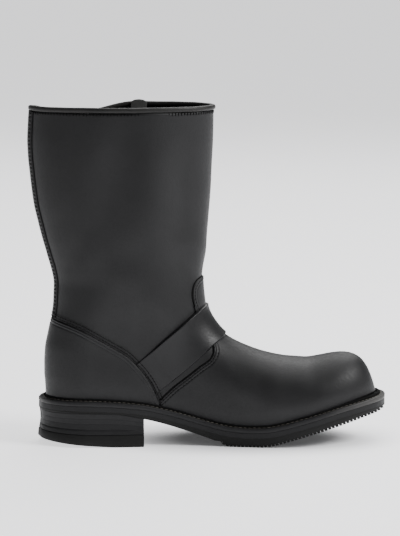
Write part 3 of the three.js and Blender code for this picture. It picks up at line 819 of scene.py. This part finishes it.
def thick_piece(name, s, t, edges, thickness, material, grooves=(), lift=0.0, crisp=0.45):
    """An overlay on places s, t of the leather, thinning at its cut edges and sunk along its stitch rows."""
    near = distance_to(surface(s, t), np.concatenate(edges))
    height = thickness * (0.45 + 0.55 * (1 - np.exp(-(near / crisp) ** 1.5))) + lift
    for place in grooves:
        height = height - 0.3 * np.exp(-((near - place) / 0.55) ** 2)
    top, _ = on_leather(s, t, height)
    under, _ = on_leather(s, t, np.full(s.shape, -0.35))
    return closed_sheet(name, top, under, material)


# Operators

class BOOT_OT_upper(bpy.types.Operator):
    """The hollow shell of the boot, from the sole to the collar"""
    bl_idname = "boot.upper"
    bl_label = "Upper"

    def execute(self, context):
        shares = np.concatenate([np.linspace(0, 0.14, 34)[:-1], np.linspace(0.14, 0.6, 70)[:-1],
                                 np.linspace(0.6, 1, 62)])
        turns = np.arange(210) / 210
        s, t = np.meshgrid(shares, turns, indexing="ij")
        outside, _ = on_leather(s, t, np.zeros(s.shape))
        inside, _ = on_leather(s, t, np.full(s.shape, -WALL))
        outside[0, :, 2] = feather(outside[0, :, 0]) + 0.1
        inside[0, :, 2] = feather(inside[0, :, 0]) + 0.1
        rings = np.concatenate([outside, inside[::-1]])
        obj = ringed("boot_upper", rings, upper_leather())
        dress(obj, "upper_leather", "upper")
        return {"FINISHED"}


class BOOT_OT_vamp(bpy.types.Operator):
    """The leather over the toe and instep, with its tongue"""
    bl_idname = "boot.vamp"
    bl_label = "Vamp"

    def execute(self, context):
        count = 190
        es, et = edge_places(VAMP_EDGE, count)
        et[-1] = 0.5
        foot_t = et[0] + (0.5 - et[0]) * np.linspace(0, 1, count) ** 0.85
        w = crowd(110, 2.0)
        s = es[:, None] * (1 - w)
        t = et[:, None] + (foot_t[:, None] - et[:, None]) * w
        s = np.maximum(np.concatenate([s, s[-2::-1]]), 0.004)
        t = np.concatenate([t, 1 - t[-2::-1]])
        edge = surface(s[:, 0], t[:, 0])
        obj = thick_piece("boot_vamp", s, t, [edge], OVERLAY, upper_leather(), SEAM_ROWS)
        dress(obj, "upper_leather", "vamp")
        return {"FINISHED"}


class BOOT_OT_counter(bpy.types.Operator):
    """The leather round the heel"""
    bl_idname = "boot.counter"
    bl_label = "Counter"

    def execute(self, context):
        count = 110
        es, et = edge_places(COUNTER_SEAM, count)
        et[0] = 0.0
        foot_t = et[-1] * np.linspace(0, 1, count)
        w = crowd(80, 2.0)
        s = es[:, None] * (1 - w)
        t = et[:, None] + (foot_t[:, None] - et[:, None]) * w
        s = np.maximum(np.concatenate([s[::-1], s[1:]]), 0.004)
        t = np.concatenate([t[::-1], -t[1:]])
        edge = surface(s[:, 0], t[:, 0])
        # where the strap's end lies underneath, the edge stands a little higher
        p = surface(s, t)
        over_end = np.exp(-(np.maximum(0, np.abs(p[..., 0] - 86) - 8) / 5) ** 2)
        near = distance_to(p, edge)
        lift = 1.0 * over_end * np.exp(-(near / 7) ** 2)
        obj = thick_piece("boot_counter", s, t, [edge], OVERLAY, upper_leather(), SEAM_ROWS, lift)
        dress(obj, "upper_leather", "counter")
        return {"FINISHED"}


class BOOT_OT_backstay(bpy.types.Operator):
    """The strip up the back seam"""
    bl_idname = "boot.backstay"
    bl_label = "Backstay"
    half = 11.0

    def execute(self, context):
        shares = backstay_shares(0.0, 1.0)
        ends, = backstay_rows(shares, (self.half,))
        v = np.linspace(-1, 1, 61)
        v = np.sign(v) * (1 - (1 - np.abs(v)) ** 1.5)
        s = shares[:, None] + 0 * v
        t = -ends[:, None] * v
        sides = [surface(s[:, k], t[:, k]) for k in (0, -1)]
        obj = thick_piece("boot_backstay", s, t, sides, OVERLAY * 0.85, upper_leather(), BACKSTAY_SEAMS)
        dress(obj, "upper_leather", "backstay")
        return {"FINISHED"}


class BOOT_OT_strap(bpy.types.Operator):
    """The plain strap over the instep"""
    bl_idname = "boot.strap"
    bl_label = "Instep strap"

    def execute(self, context):
        count = 120
        as_, at = edge_places(STRAP_TOP, count)
        bs, bt = edge_places(STRAP_UNDER, count)
        at[-1] = bt[-1] = 0.5
        v = (1 - np.cos(np.pi * np.linspace(0, 1, 60))) / 2
        s = as_[:, None] * (1 - v) + bs[:, None] * v
        t = at[:, None] * (1 - v) + bt[:, None] * v
        s = np.concatenate([s, s[-2::-1]])
        t = np.concatenate([t, 1 - t[-2::-1]])
        p = surface(s, t)
        run = np.concatenate([[0], np.cumsum(np.linalg.norm(np.diff(p[:, 30], axis=0), axis=-1))])
        from_end = np.minimum(run, run[-1] - run)[:, None]
        # its ends lie under the counter's edge, its middle over the vamp
        lift = -1.0 * (1 - soft(from_end, 3, 14)) + OVERLAY * soft(from_end, 10, 34)
        sides = [surface(s[:, k], t[:, k]) for k in (0, -1)]
        obj = thick_piece("boot_strap", s, t, sides, 2.3, strap_leather(), (), lift, 0.3)
        dress(obj, "strap_leather", "instep_strap")
        return {"FINISHED"}


def strap_leather():
    return leather("smooth strap leather", colours().leather, colours().leather_worn, 0.42, 0.5, 0.18)


class BOOT_OT_collar(bpy.types.Operator):
    """The rolled edge round the top and the pull tab inside"""
    bl_idname = "boot.collar"
    bl_label = "Collar"
    wide = 5.2

    def execute(self, context):
        turns = np.arange(420) / 420
        p, n = surface(np.ones(420), turns), outward(np.ones(420), turns)
        n[:, 2] = 0
        n /= np.linalg.norm(n, axis=1, keepdims=True)
        a = np.linspace(0, 2 * np.pi, 22, endpoint=False)
        out = np.sign(np.cos(a)) * np.abs(np.cos(a)) ** 0.75 * 0.5
        up = 0.5 + np.sign(np.sin(a)) * np.abs(np.sin(a)) ** 0.75 * 0.5
        high = sizes().binding_high
        sag = 0.15 * np.sin(turns * 2 * np.pi * 7) + 0.1 * np.sin(turns * 2 * np.pi * 17 + 1)
        mid = -WALL / 2 + 0.25
        rings = p[:, None] + n[:, None] * (mid + out[None, :, None] * self.wide)
        rings[..., 2] += 0.05 + up * high + sag[:, None] * 0.5
        skin = leather("rolled edge leather", colours().binding, linear("201f1e"), 0.5, 0.5, 0.3)
        obj = ringed("boot_binding", rings, skin)
        dress(obj, "binding_leather", "collar_binding")
        low, high_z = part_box("pull_tab")
        self.tab(low, high_z)
        return {"FINISHED"}

    def tab(self, low, high):
        """A folded tape: two layers with a round top."""
        corners = [np.array(c) * 1000 - np.array(SHIFT) * 1000 for c in (low, high)]
        find = np.linspace(0.5, 1, 600)
        p, n = surface(np.ones(600), find), outward(np.ones(600), find)
        xs = np.linspace(corners[0][0], corners[1][0], 17)
        order = np.argsort(p[:, 0])
        y = np.interp(xs, p[order, 0], p[order, 1])
        nx, ny = np.interp(xs, p[order, 0], n[order, 0]), np.interp(xs, p[order, 0], n[order, 1])
        depth = WALL / 2 - 0.25 + self.wide / 2 + GAP
        top, foot = corners[1][2], corners[0][2]
        thick = 1.8
        # down the outside of the fold, and back up inside
        profile = [(0.0, foot), (0.0, top - 20), (0.0, top - 1.2), (0.25, top - 0.4), (0.9, top), (1.55, top - 0.4),
                   (thick, top - 1.2), (thick, top - 20), (thick, foot)]
        u = np.linspace(-1, 1, 17)
        drop = 3.2 * (1 - np.sqrt(1 - 0.97 * u**2))
        rings = np.array([[(x - a * (depth + d), yy - b * (depth + d), z - fall * soft(z, top - 12, top - 2))
                           for d, z in profile] for x, yy, a, b, fall in zip(xs, y, nx, ny, drop)])
        obj = ringed("boot_pull_tab", rings, webbing_material(), closed=False, caps=True)
        sharp_edges(obj, 50)
        dress(obj, "tab_webbing", "pull_tab")


class BOOT_OT_stitches(bpy.types.Operator):
    """Every row of stitches on the leather"""
    bl_idname = "boot.stitches"
    bl_label = "Stitches"

    def execute(self, context):
        both = (False, True)
        cut, tongue = VAMP_EDGE[:6], VAMP_EDGE[9:]
        high = OVERLAY - 0.2
        sew("vamp_stitches", [side_path(cut, 90, d, high, far) for d in SEAM_ROWS for far in both]
            + [side_path(tongue, 60, SEAM_ROWS[0], high, far) for far in both], "upper_leather")
        sew("counter_stitches", [side_path(COUNTER_SEAM, 120, -d, high, far) for d in SEAM_ROWS for far in both],
            "upper_leather")
        # dark beads along the cut edges of the vamp, counter and strap: edge ink, and painted shade in the corner where
        # each edge stands on the leather below
        ink("vamp_edge_ink_and_shade", [side_path(VAMP_EDGE[:7], 120, -0.35, -0.15, far) for far in both]
            + [side_path(tongue, 80, -0.35, -0.15, far) for far in both], 0.7)
        ink("counter_edge_ink_and_shade", [side_path(COUNTER_SEAM, 160, 0.3, -0.2, far) for far in both])
        ink("strap_edge_ink_and_shadow", [side_path(line, 120, d, h, far) for line, d, h in
                           ((STRAP_TOP[1:], -0.15, -0.1), (STRAP_UNDER[1:-1], 0.15, -0.1)) for far in both], 0.32)
        # painted shade: thin dark beads sunk along the stitch rows, for the shade in the stitch grooves and holes
        ink("seam_rows_painted_shade", [side_path(cut, 120, d, OVERLAY - 0.42, far) for d in SEAM_ROWS for far in both]
            + [side_path(tongue, 60, SEAM_ROWS[0], OVERLAY - 0.42, far) for far in both]
            + [side_path(COUNTER_SEAM, 160, -d, OVERLAY - 0.42, far) for d in SEAM_ROWS for far in both], 0.2)
        self.backstay()
        turns = np.linspace(0, 1, 421)
        p, n = surface(np.ones(421), turns), outward(np.ones(421), turns)
        below = p + n * 0.05
        below[:, 2] -= 1.6
        sew("collar_stitches", [(below, n)], "upper_leather", length=1.0, width=2.9, height=0.8)
        return {"FINISHED"}

    def backstay(self):
        shares = backstay_shares(0.004, 0.994)
        half = BOOT_OT_backstay.half
        rows = []
        for t in backstay_rows(shares, [half - d for d in BACKSTAY_SEAMS]):
            rows += [on_leather(shares, sign * t, np.full(len(shares), OVERLAY * 0.85 - 0.2)) for sign in (1, -1)]
        sew("backstay_stitches", rows, "upper_leather", height=1.3, pitch=3.4)
        # dark beads along the backstay's edges: edge ink, and painted shade in the corner at its edges
        t, = backstay_rows(shares, (half + 0.35,))
        ink("backstay_edge_ink_and_shade", [on_leather(shares, sign * t, np.full(len(shares), -0.2)) for sign in (1, -1)])


def welt_top(x):
    return feather(x) - 0.05


def welt_under(x):
    return feather(x) - 0.25 - WELT


def mid_top(x):
    return welt_under(x) - GAP


def mid_under(x):
    return mid_top(x) - MIDSOLE


def out_top(x):
    return mid_under(x) - GAP


def under(x):
    return curve(UNDERSIDE, x / LENGTH)


class BOOT_OT_sole(bpy.types.Operator):
    """Insole, welt and midsole"""
    bl_idname = "boot.sole"
    bl_label = "Insole, welt and midsole"

    def execute(self, context):
        footbed = leather("vegetable-tanned footbed", colours().footbed, linear("7b6852"), 0.75, 0.8, 0.3)
        rows = [(-WALL - 3.5, feather, 3.2), (-WALL - 1.8, feather, 3.0), (-WALL - 1.0, feather, 2.2),
                (-WALL - 0.9, feather, 0.1)]
        obj = layer("boot_insole", rows, footbed)
        dress(obj, "insole_leather", "insole")
        edge = edge_leather("dressed sole leather", colours().sole_edge)
        rim = edge_leather("welt leather", linear("121213"), 0.8, 0.3, linear("403f3e"))
        rows = [(-7.0, welt_top, 0), (-2.0, welt_top, 0), (WELT_OUT - 1.0, welt_top, -0.02),
                (WELT_OUT - 0.4, welt_top, -0.3), (WELT_OUT - 0.05, welt_top, -0.9), (WELT_OUT, welt_under, 1.2),
                (WELT_OUT - 0.1, welt_under, 0.05),
                (WELT_OUT - 0.3, welt_under, -0.1), (-7.0, welt_under, 0)]
        rings = np.array([loop_of(d, lambda x: line(x) + step, 150) for d, line, step in rows])
        obj = ringed("boot_welt", rings, rim)
        # painted shade: the welt's upward faces get a darker black than its rim, for the shade under the upper's
        # overhang
        obj.data.materials.append(edge_leather("welt top darkened for painted shade", linear("080808"), 0.8, 0.3))
        shaded_top_faces = [int(face.normal.z > 0.97 and face.area > 0) for face in obj.data.polygons]
        obj.data.polygons.foreach_set("material_index", shaded_top_faces)
        sharp_edges(obj, 50)
        dress(obj, "sole_leather", "welt")
        rows = [(-6, feather, -0.3), (-6.6, mid_top, 0.05), (WELT_OUT - 0.45, mid_top, 0.1),
                (WELT_OUT - 0.25, mid_top, -0.05), (WELT_OUT - 0.15, mid_top, -1.6),
                (WELT_OUT - 0.12, mid_under, -0.1), (WELT_OUT - 0.2, mid_under, -0.13)]
        obj = layer("boot_midsole", rows, edge, 150)
        dress(obj, "sole_leather", "midsole")
        # painted shade: a thick dark bead round the foot of the upper, for the shade where the upper overhangs the welt
        seat = loop_of(1.3, lambda x: welt_top(x) + 0.7, 150)
        seat = np.concatenate([seat, seat[:1]])
        ink("welt_seat_painted_shade", [(seat, seat)], 1.8)
        near_far = loop_of(3.6, welt_top, 150)
        path = np.concatenate([near_far, near_far[:1]])
        path[:, 2] += 0.05
        sew("welt_stitches", [(path, np.tile((0, 0, 1.0), (len(path), 1)))], "sole_leather", pitch=4.2, width=1.0,
            length=3.3, height=0.7, material=leather("waxed welt thread", linear("4a4742"), linear("5a564f"), 0.55))
        return {"FINISHED"}


class BOOT_OT_outsole(bpy.types.Operator):
    """The ribbed rubber outsole"""
    bl_idname = "boot.outsole"
    bl_label = "Outsole"

    def execute(self, context):
        depth = sizes().rib_depth
        ribbed = lambda x: depth * soft(x, 148, 152)
        bare = lambda x: under(x) + ribbed(x)
        rows = [(WELT_OUT - 0.2, out_top, 0.13), (WELT_OUT - 0.12, out_top, 0.1), (WELT_OUT - 0.1, out_top, -1.2),
                (WELT_OUT - 0.45, lambda x: np.minimum(bare(x) + 0.5, out_top(x) - 1.4), 0), (WELT_OUT - 0.9, bare, 0)]
        obj = layer("boot_outsole", rows, rubber_material(), 150)
        dress(obj, "sole_rubber", "outsole")
        self.ribs()
        return {"FINISHED"}

    def ribs(self):
        """Bars across the forefoot, as wide as the sole where they lie."""
        pitch, depth = sizes().rib_pitch, sizes().rib_depth
        xs = np.arange(152 + 1.5 + 0.9, 298, pitch)
        near, far = plan(WELT_OUT - 0.85, 300)
        y0, y1 = np.interp(xs, near[:, 0], near[:, 1]), np.interp(xs, far[:, 0], far[:, 1])
        slope = (under(xs + 0.5) - under(xs - 0.5))
        z = under(xs) + depth / 2 + 0.1
        mesh = bpy.data.meshes.new("boot_ribs")
        mesh.from_pydata(to_row(np.column_stack([xs, (y0 + y1) / 2, z])).tolist(), [], [])
        for label, values in (("wide", (y1 - y0) / 1000), ("tilt", -np.arctan(slope))):
            mesh.attributes.new(label, "FLOAT", "POINT").data.foreach_set("value", values)
        obj = place_object("boot_ribs", mesh)
        modifier = obj.modifiers.new("ribs", "NODES")
        modifier.node_group = rib_tree()
        set_inputs(modifier, {"Thick": 0.0024, "Deep": (depth + 0.2) / 1000, "Material": rubber_material()})
        finish_mesh(obj)
        sharp_edges(obj, 35)
        dress(obj, "sole_rubber")


def line_tree():
    """A round bead along the edges of a mesh."""
    name = "edge bead"
    if name in bpy.data.node_groups:
        return bpy.data.node_groups[name]
    tree, given = new_tree(name, ("Radius",))
    path = put(tree, "GeometryNodeMeshToCurve", {}, {"Mesh": given["Geometry"]})
    ring = put(tree, "GeometryNodeCurvePrimitiveCircle", {"Resolution": 8}, {"Radius": given["Radius"]})
    bead = put(tree, "GeometryNodeCurveToMesh", {"Fill Caps": True},
               {"Curve": path.outputs[0], "Profile Curve": ring.outputs[0]})
    smooth = put(tree, "GeometryNodeSetShadeSmooth", {}, {"Geometry": bead.outputs[0]})
    return close_tree(tree, given, smooth.outputs[0])


def ink_and_painted_shade_material():
    """Dark edge ink brushed on the cut edges, also used as painted shade in corners, grooves and under the upper: flat
    and almost without light.
    """
    material, tree, shader, place = new_material("edge ink and painted shade")
    brushed = noise(tree, place, 300.0)
    shade = blend(tree, linear("060606"), linear("101010"), brushed.outputs["Fac"])
    tree.links.new(shade.outputs[2], shader.inputs["Base Color"])
    shader.inputs["Roughness"].default_value = 0.9
    shader.inputs["Specular IOR Level"].default_value = 0.1
    return material


def ink(name, paths, radius=0.55):
    """A dark bead along a line, sunk in its corner: edge ink on cut edges, and painted shade in corners and grooves."""
    obj = place_object(name, path_mesh(name, paths))
    modifier = obj.modifiers.new("bead", "NODES")
    modifier.node_group = line_tree()
    set_inputs(modifier, {"Radius": radius / 1000, "Material": ink_and_painted_shade_material()})
    finish_mesh(obj)
    return dress(obj, "upper_leather")


def rib_tree():
    """One bar on each point, as wide as its wide attribute and tilted to the sole."""
    tree, given = new_tree("ribs", ("Thick", "Deep"))
    wide = put(tree, "GeometryNodeInputNamedAttribute", {"data_type": "FLOAT", "Name": "wide"})
    tilt = put(tree, "GeometryNodeInputNamedAttribute", {"data_type": "FLOAT", "Name": "tilt"})
    turn = put(tree, "ShaderNodeCombineXYZ", {}, {"Y": tilt.outputs[0]})
    size = put(tree, "ShaderNodeCombineXYZ", {}, {"X": given["Thick"], "Y": wide.outputs[0], "Z": given["Deep"]})
    bar = put(tree, "GeometryNodeMeshCube", {"Size": (1.0, 1.0, 1.0)})
    points = put(tree, "GeometryNodeMeshToPoints", {}, {"Mesh": given["Geometry"]})
    laid = put(tree, "GeometryNodeInstanceOnPoints", {},
               {"Points": points.outputs[0], "Instance": bar.outputs[0], "Rotation": turn.outputs[0],
                "Scale": size.outputs[0]})
    return close_tree(tree, given, laid.outputs[0])


class BOOT_OT_heel(bpy.types.Operator):
    """The stacked heel and its rubber top lift"""
    bl_idname = "boot.heel"
    bl_label = "Heel"

    def execute(self, context):
        pieces = []
        slope = lambda x: 5.2 * (np.maximum(0, 60 - x) / 66) ** 1.25
        rubber_top = lambda x: TOP_LIFT + 2.2 * (np.maximum(0, 50 - x) / 58) ** 1.5
        lift_top = lambda x: under(x) - 0.1
        stack = edge_leather("stacked heel leather", linear("0e0e0f"), 0.7, 0.25)

        def at(share):
            return lambda x: lift_top(x) + (rubber_top(x) + 0.1 - lift_top(x)) * share

        def out(share):
            return WELT_OUT - 0.8 - 0.9 * math.sin(math.pi * share) + 0.6 * share

        for i in range(LIFTS):
            a, b = i / LIFTS, (i + 1) / LIFTS
            mid = (a + b) / 2
            rows = [(out(a) - 0.1, at(a), 0), (out(a), at(a), -0.09), (out(mid) + 0.05, at(mid), 0),
                    (out(b), at(b), 0.09), (out(b) - 0.1, at(b), 0)]
            pieces.append((f"heel_lift_{i + 1}", rows, stack, "sole_leather"))
        rows = [(WELT_OUT - 0.9, rubber_top, 0), (WELT_OUT - 0.1, rubber_top, -0.3), (WELT_OUT + 0.3, rubber_top, -1.2),
                (WELT_OUT + 0.85, slope, 1.2), (WELT_OUT + 0.7, slope, 0.5), (WELT_OUT + 0.1, slope, 0)]
        pieces.append(("top_lift", rows, rubber_material(), "sole_rubber"))
        for node, rows, material, slot in pieces:
            obj = layer(f"boot_{node}", rows, material, 150)
            cut_box(obj, (-60, -90, -20), (HEEL_X, 90, 60), "INTERSECT")
            mend_normals(obj)
            sharp_edges(obj, 40)
            dress(obj, slot, node)
        return {"FINISHED"}


class BOOT_OT_stage(bpy.types.Operator):
    """Floor, soft lights and camera"""
    bl_idname = "boot.stage"
    bl_label = "Stage"

    def execute(self, context):
        self.floor()
        self.light("top_light", (0.5, 0.35, 2.0), (0.02, 0, 0.12), 1.7, 25)
        self.light("toe_light", (1.65, -0.85, 1.6), (0.02, 0, 0.15), 0.8, 58)
        self.light("fill_light", (-1.6, -1.2, 1.1), (-0.1, 0, 0.12), 1.3, 1.5)
        self.light("rim_light", (0.5, 2.1, 2.0), (0.05, 0, 0.1), 1.8, 34)
        world = bpy.data.worlds.new("studio")
        bpy.context.scene.world = world
        world.use_nodes = True
        world.node_tree.nodes["Background"].inputs[0].default_value = (1, 1, 1, 1)
        world.node_tree.nodes["Background"].inputs[1].default_value = 0.2
        self.camera()
        return {"FINISHED"}

    def floor(self):
        """A wide flat floor, painted white."""
        material, tree, shader, place = new_material("white studio floor paint")
        mottle = noise(tree, place, 3.0)
        shade = blend(tree, tone(colours().floor), linear("eaeaec"), mottle.outputs["Fac"])
        tree.links.new(shade.outputs[2], shader.inputs["Base Color"])
        shader.inputs["Roughness"].default_value = 0.9
        shader.inputs["Emission Color"].default_value = tone(colours().floor)
        # the floor glows a little less close to the boot, a painted shadow round it, so that its cast shadow shows
        near = put(tree, "ShaderNodeMapping", {"Location": (-0.28, 0.0, 0.0), "Scale": (7.0, 11.0, 1.0)},
                   {"Vector": place})
        reach = put(tree, "ShaderNodeVectorMath", {"operation": "LENGTH"}, {"Vector": near.outputs[0]})
        glow_with_painted_shadow = put(tree, "ShaderNodeMapRange", {"interpolation_type": "SMOOTHSTEP", "From Min": 0.4, "From Max": 1.1,
                                                "To Min": 0.08, "To Max": 1.35}, {"Value": reach.outputs["Value"]})
        # and less again a pace in front of the boot
        deep = put(tree, "ShaderNodeSeparateXYZ", {}, {"Vector": place}).outputs[1]
        front = put(tree, "ShaderNodeMapRange", {"interpolation_type": "SMOOTHSTEP", "From Min": -1.3, "From Max": -0.7,
                                                 "To Min": 0.12, "To Max": 1.0}, {"Value": deep})
        both = put(tree, "ShaderNodeMath", {"operation": "MULTIPLY"}, {0: glow_with_painted_shadow.outputs[0], 1: front.outputs[0]})
        tree.links.new(both.outputs[0], shader.inputs["Emission Strength"])
        around = np.linspace(0, 2 * np.pi, 48, endpoint=False)
        points = [(r * math.cos(a), r * math.sin(a), 0.0) for r in (2.0, 60.0) for a in around]
        faces = [list(range(48))] + [(i, i + 48, (i + 1) % 48 + 48, (i + 1) % 48) for i in range(48)]
        mesh = bpy.data.meshes.new("studio_floor")
        mesh.from_pydata(points, [], faces)
        mesh.materials.append(material)
        mesh.polygons.foreach_set("use_smooth", [True] * len(mesh.polygons))
        place_object("studio_floor", mesh)

    def light(self, name, place, target, size, power):
        lamp = bpy.data.lights.new(name, "AREA")
        lamp.shape, lamp.size, lamp.energy = "SQUARE", size, power
        obj = place_object(name, lamp)
        obj.location = place
        obj.rotation_euler = (Vector(target) - Vector(place)).to_track_quat("-Z", "Y").to_euler()

    def camera(self):
        """A long lens at the photograph's angle."""
        turn, lift, away = math.radians(-4.0), math.radians(7.5), 2.5
        target = Vector((-0.006, 0.0, 0.1535))
        back = Vector((math.sin(turn) * math.cos(lift), -math.cos(turn) * math.cos(lift), math.sin(lift)))
        lens = bpy.data.cameras.new("camera")
        lens.sensor_fit, lens.sensor_height, lens.lens = "VERTICAL", 36.0, 36.0 * (away * 1000 / 0.885) / 536
        lens.clip_end = 50
        obj = place_object("camera", lens)
        obj.location = target + back * away
        obj.rotation_euler = (-back).to_track_quat("-Z", "Y").to_euler()
        bpy.context.scene.camera = obj


class BOOT_PT_panel(bpy.types.Panel):
    """Sizes, colours and the steps of the boot"""
    bl_idname = "BOOT_PT_panel"
    bl_label = "Boot"
    bl_space_type = "VIEW_3D"
    bl_region_type = "UI"
    bl_category = "Boot"

    def draw(self, context):
        for group in (context.scene.boot_sizes, context.scene.boot_colours):
            for name in group.__annotations__:
                self.layout.prop(group, name)
        for step in STEPS:
            self.layout.operator(step.bl_idname)


STEPS = (BOOT_OT_upper, BOOT_OT_vamp, BOOT_OT_counter, BOOT_OT_backstay, BOOT_OT_strap, BOOT_OT_collar,
         BOOT_OT_stitches, BOOT_OT_sole, BOOT_OT_outsole, BOOT_OT_heel, BOOT_OT_stage)
CLASSES = (BootSizes, BootColours) + STEPS + (BOOT_PT_panel,)


def register():
    for item in CLASSES:
        bpy.utils.register_class(item)
    bpy.types.Scene.boot_sizes = PointerProperty(type=BootSizes)
    bpy.types.Scene.boot_colours = PointerProperty(type=BootColours)


def unregister():
    del bpy.types.Scene.boot_colours
    del bpy.types.Scene.boot_sizes
    for item in reversed(CLASSES):
        bpy.utils.unregister_class(item)


def main():
    register()
    for step in STEPS:
        group, name = step.bl_idname.split(".")
        getattr(getattr(bpy.ops, group), name)()


if __name__ == "__main__":
    main()
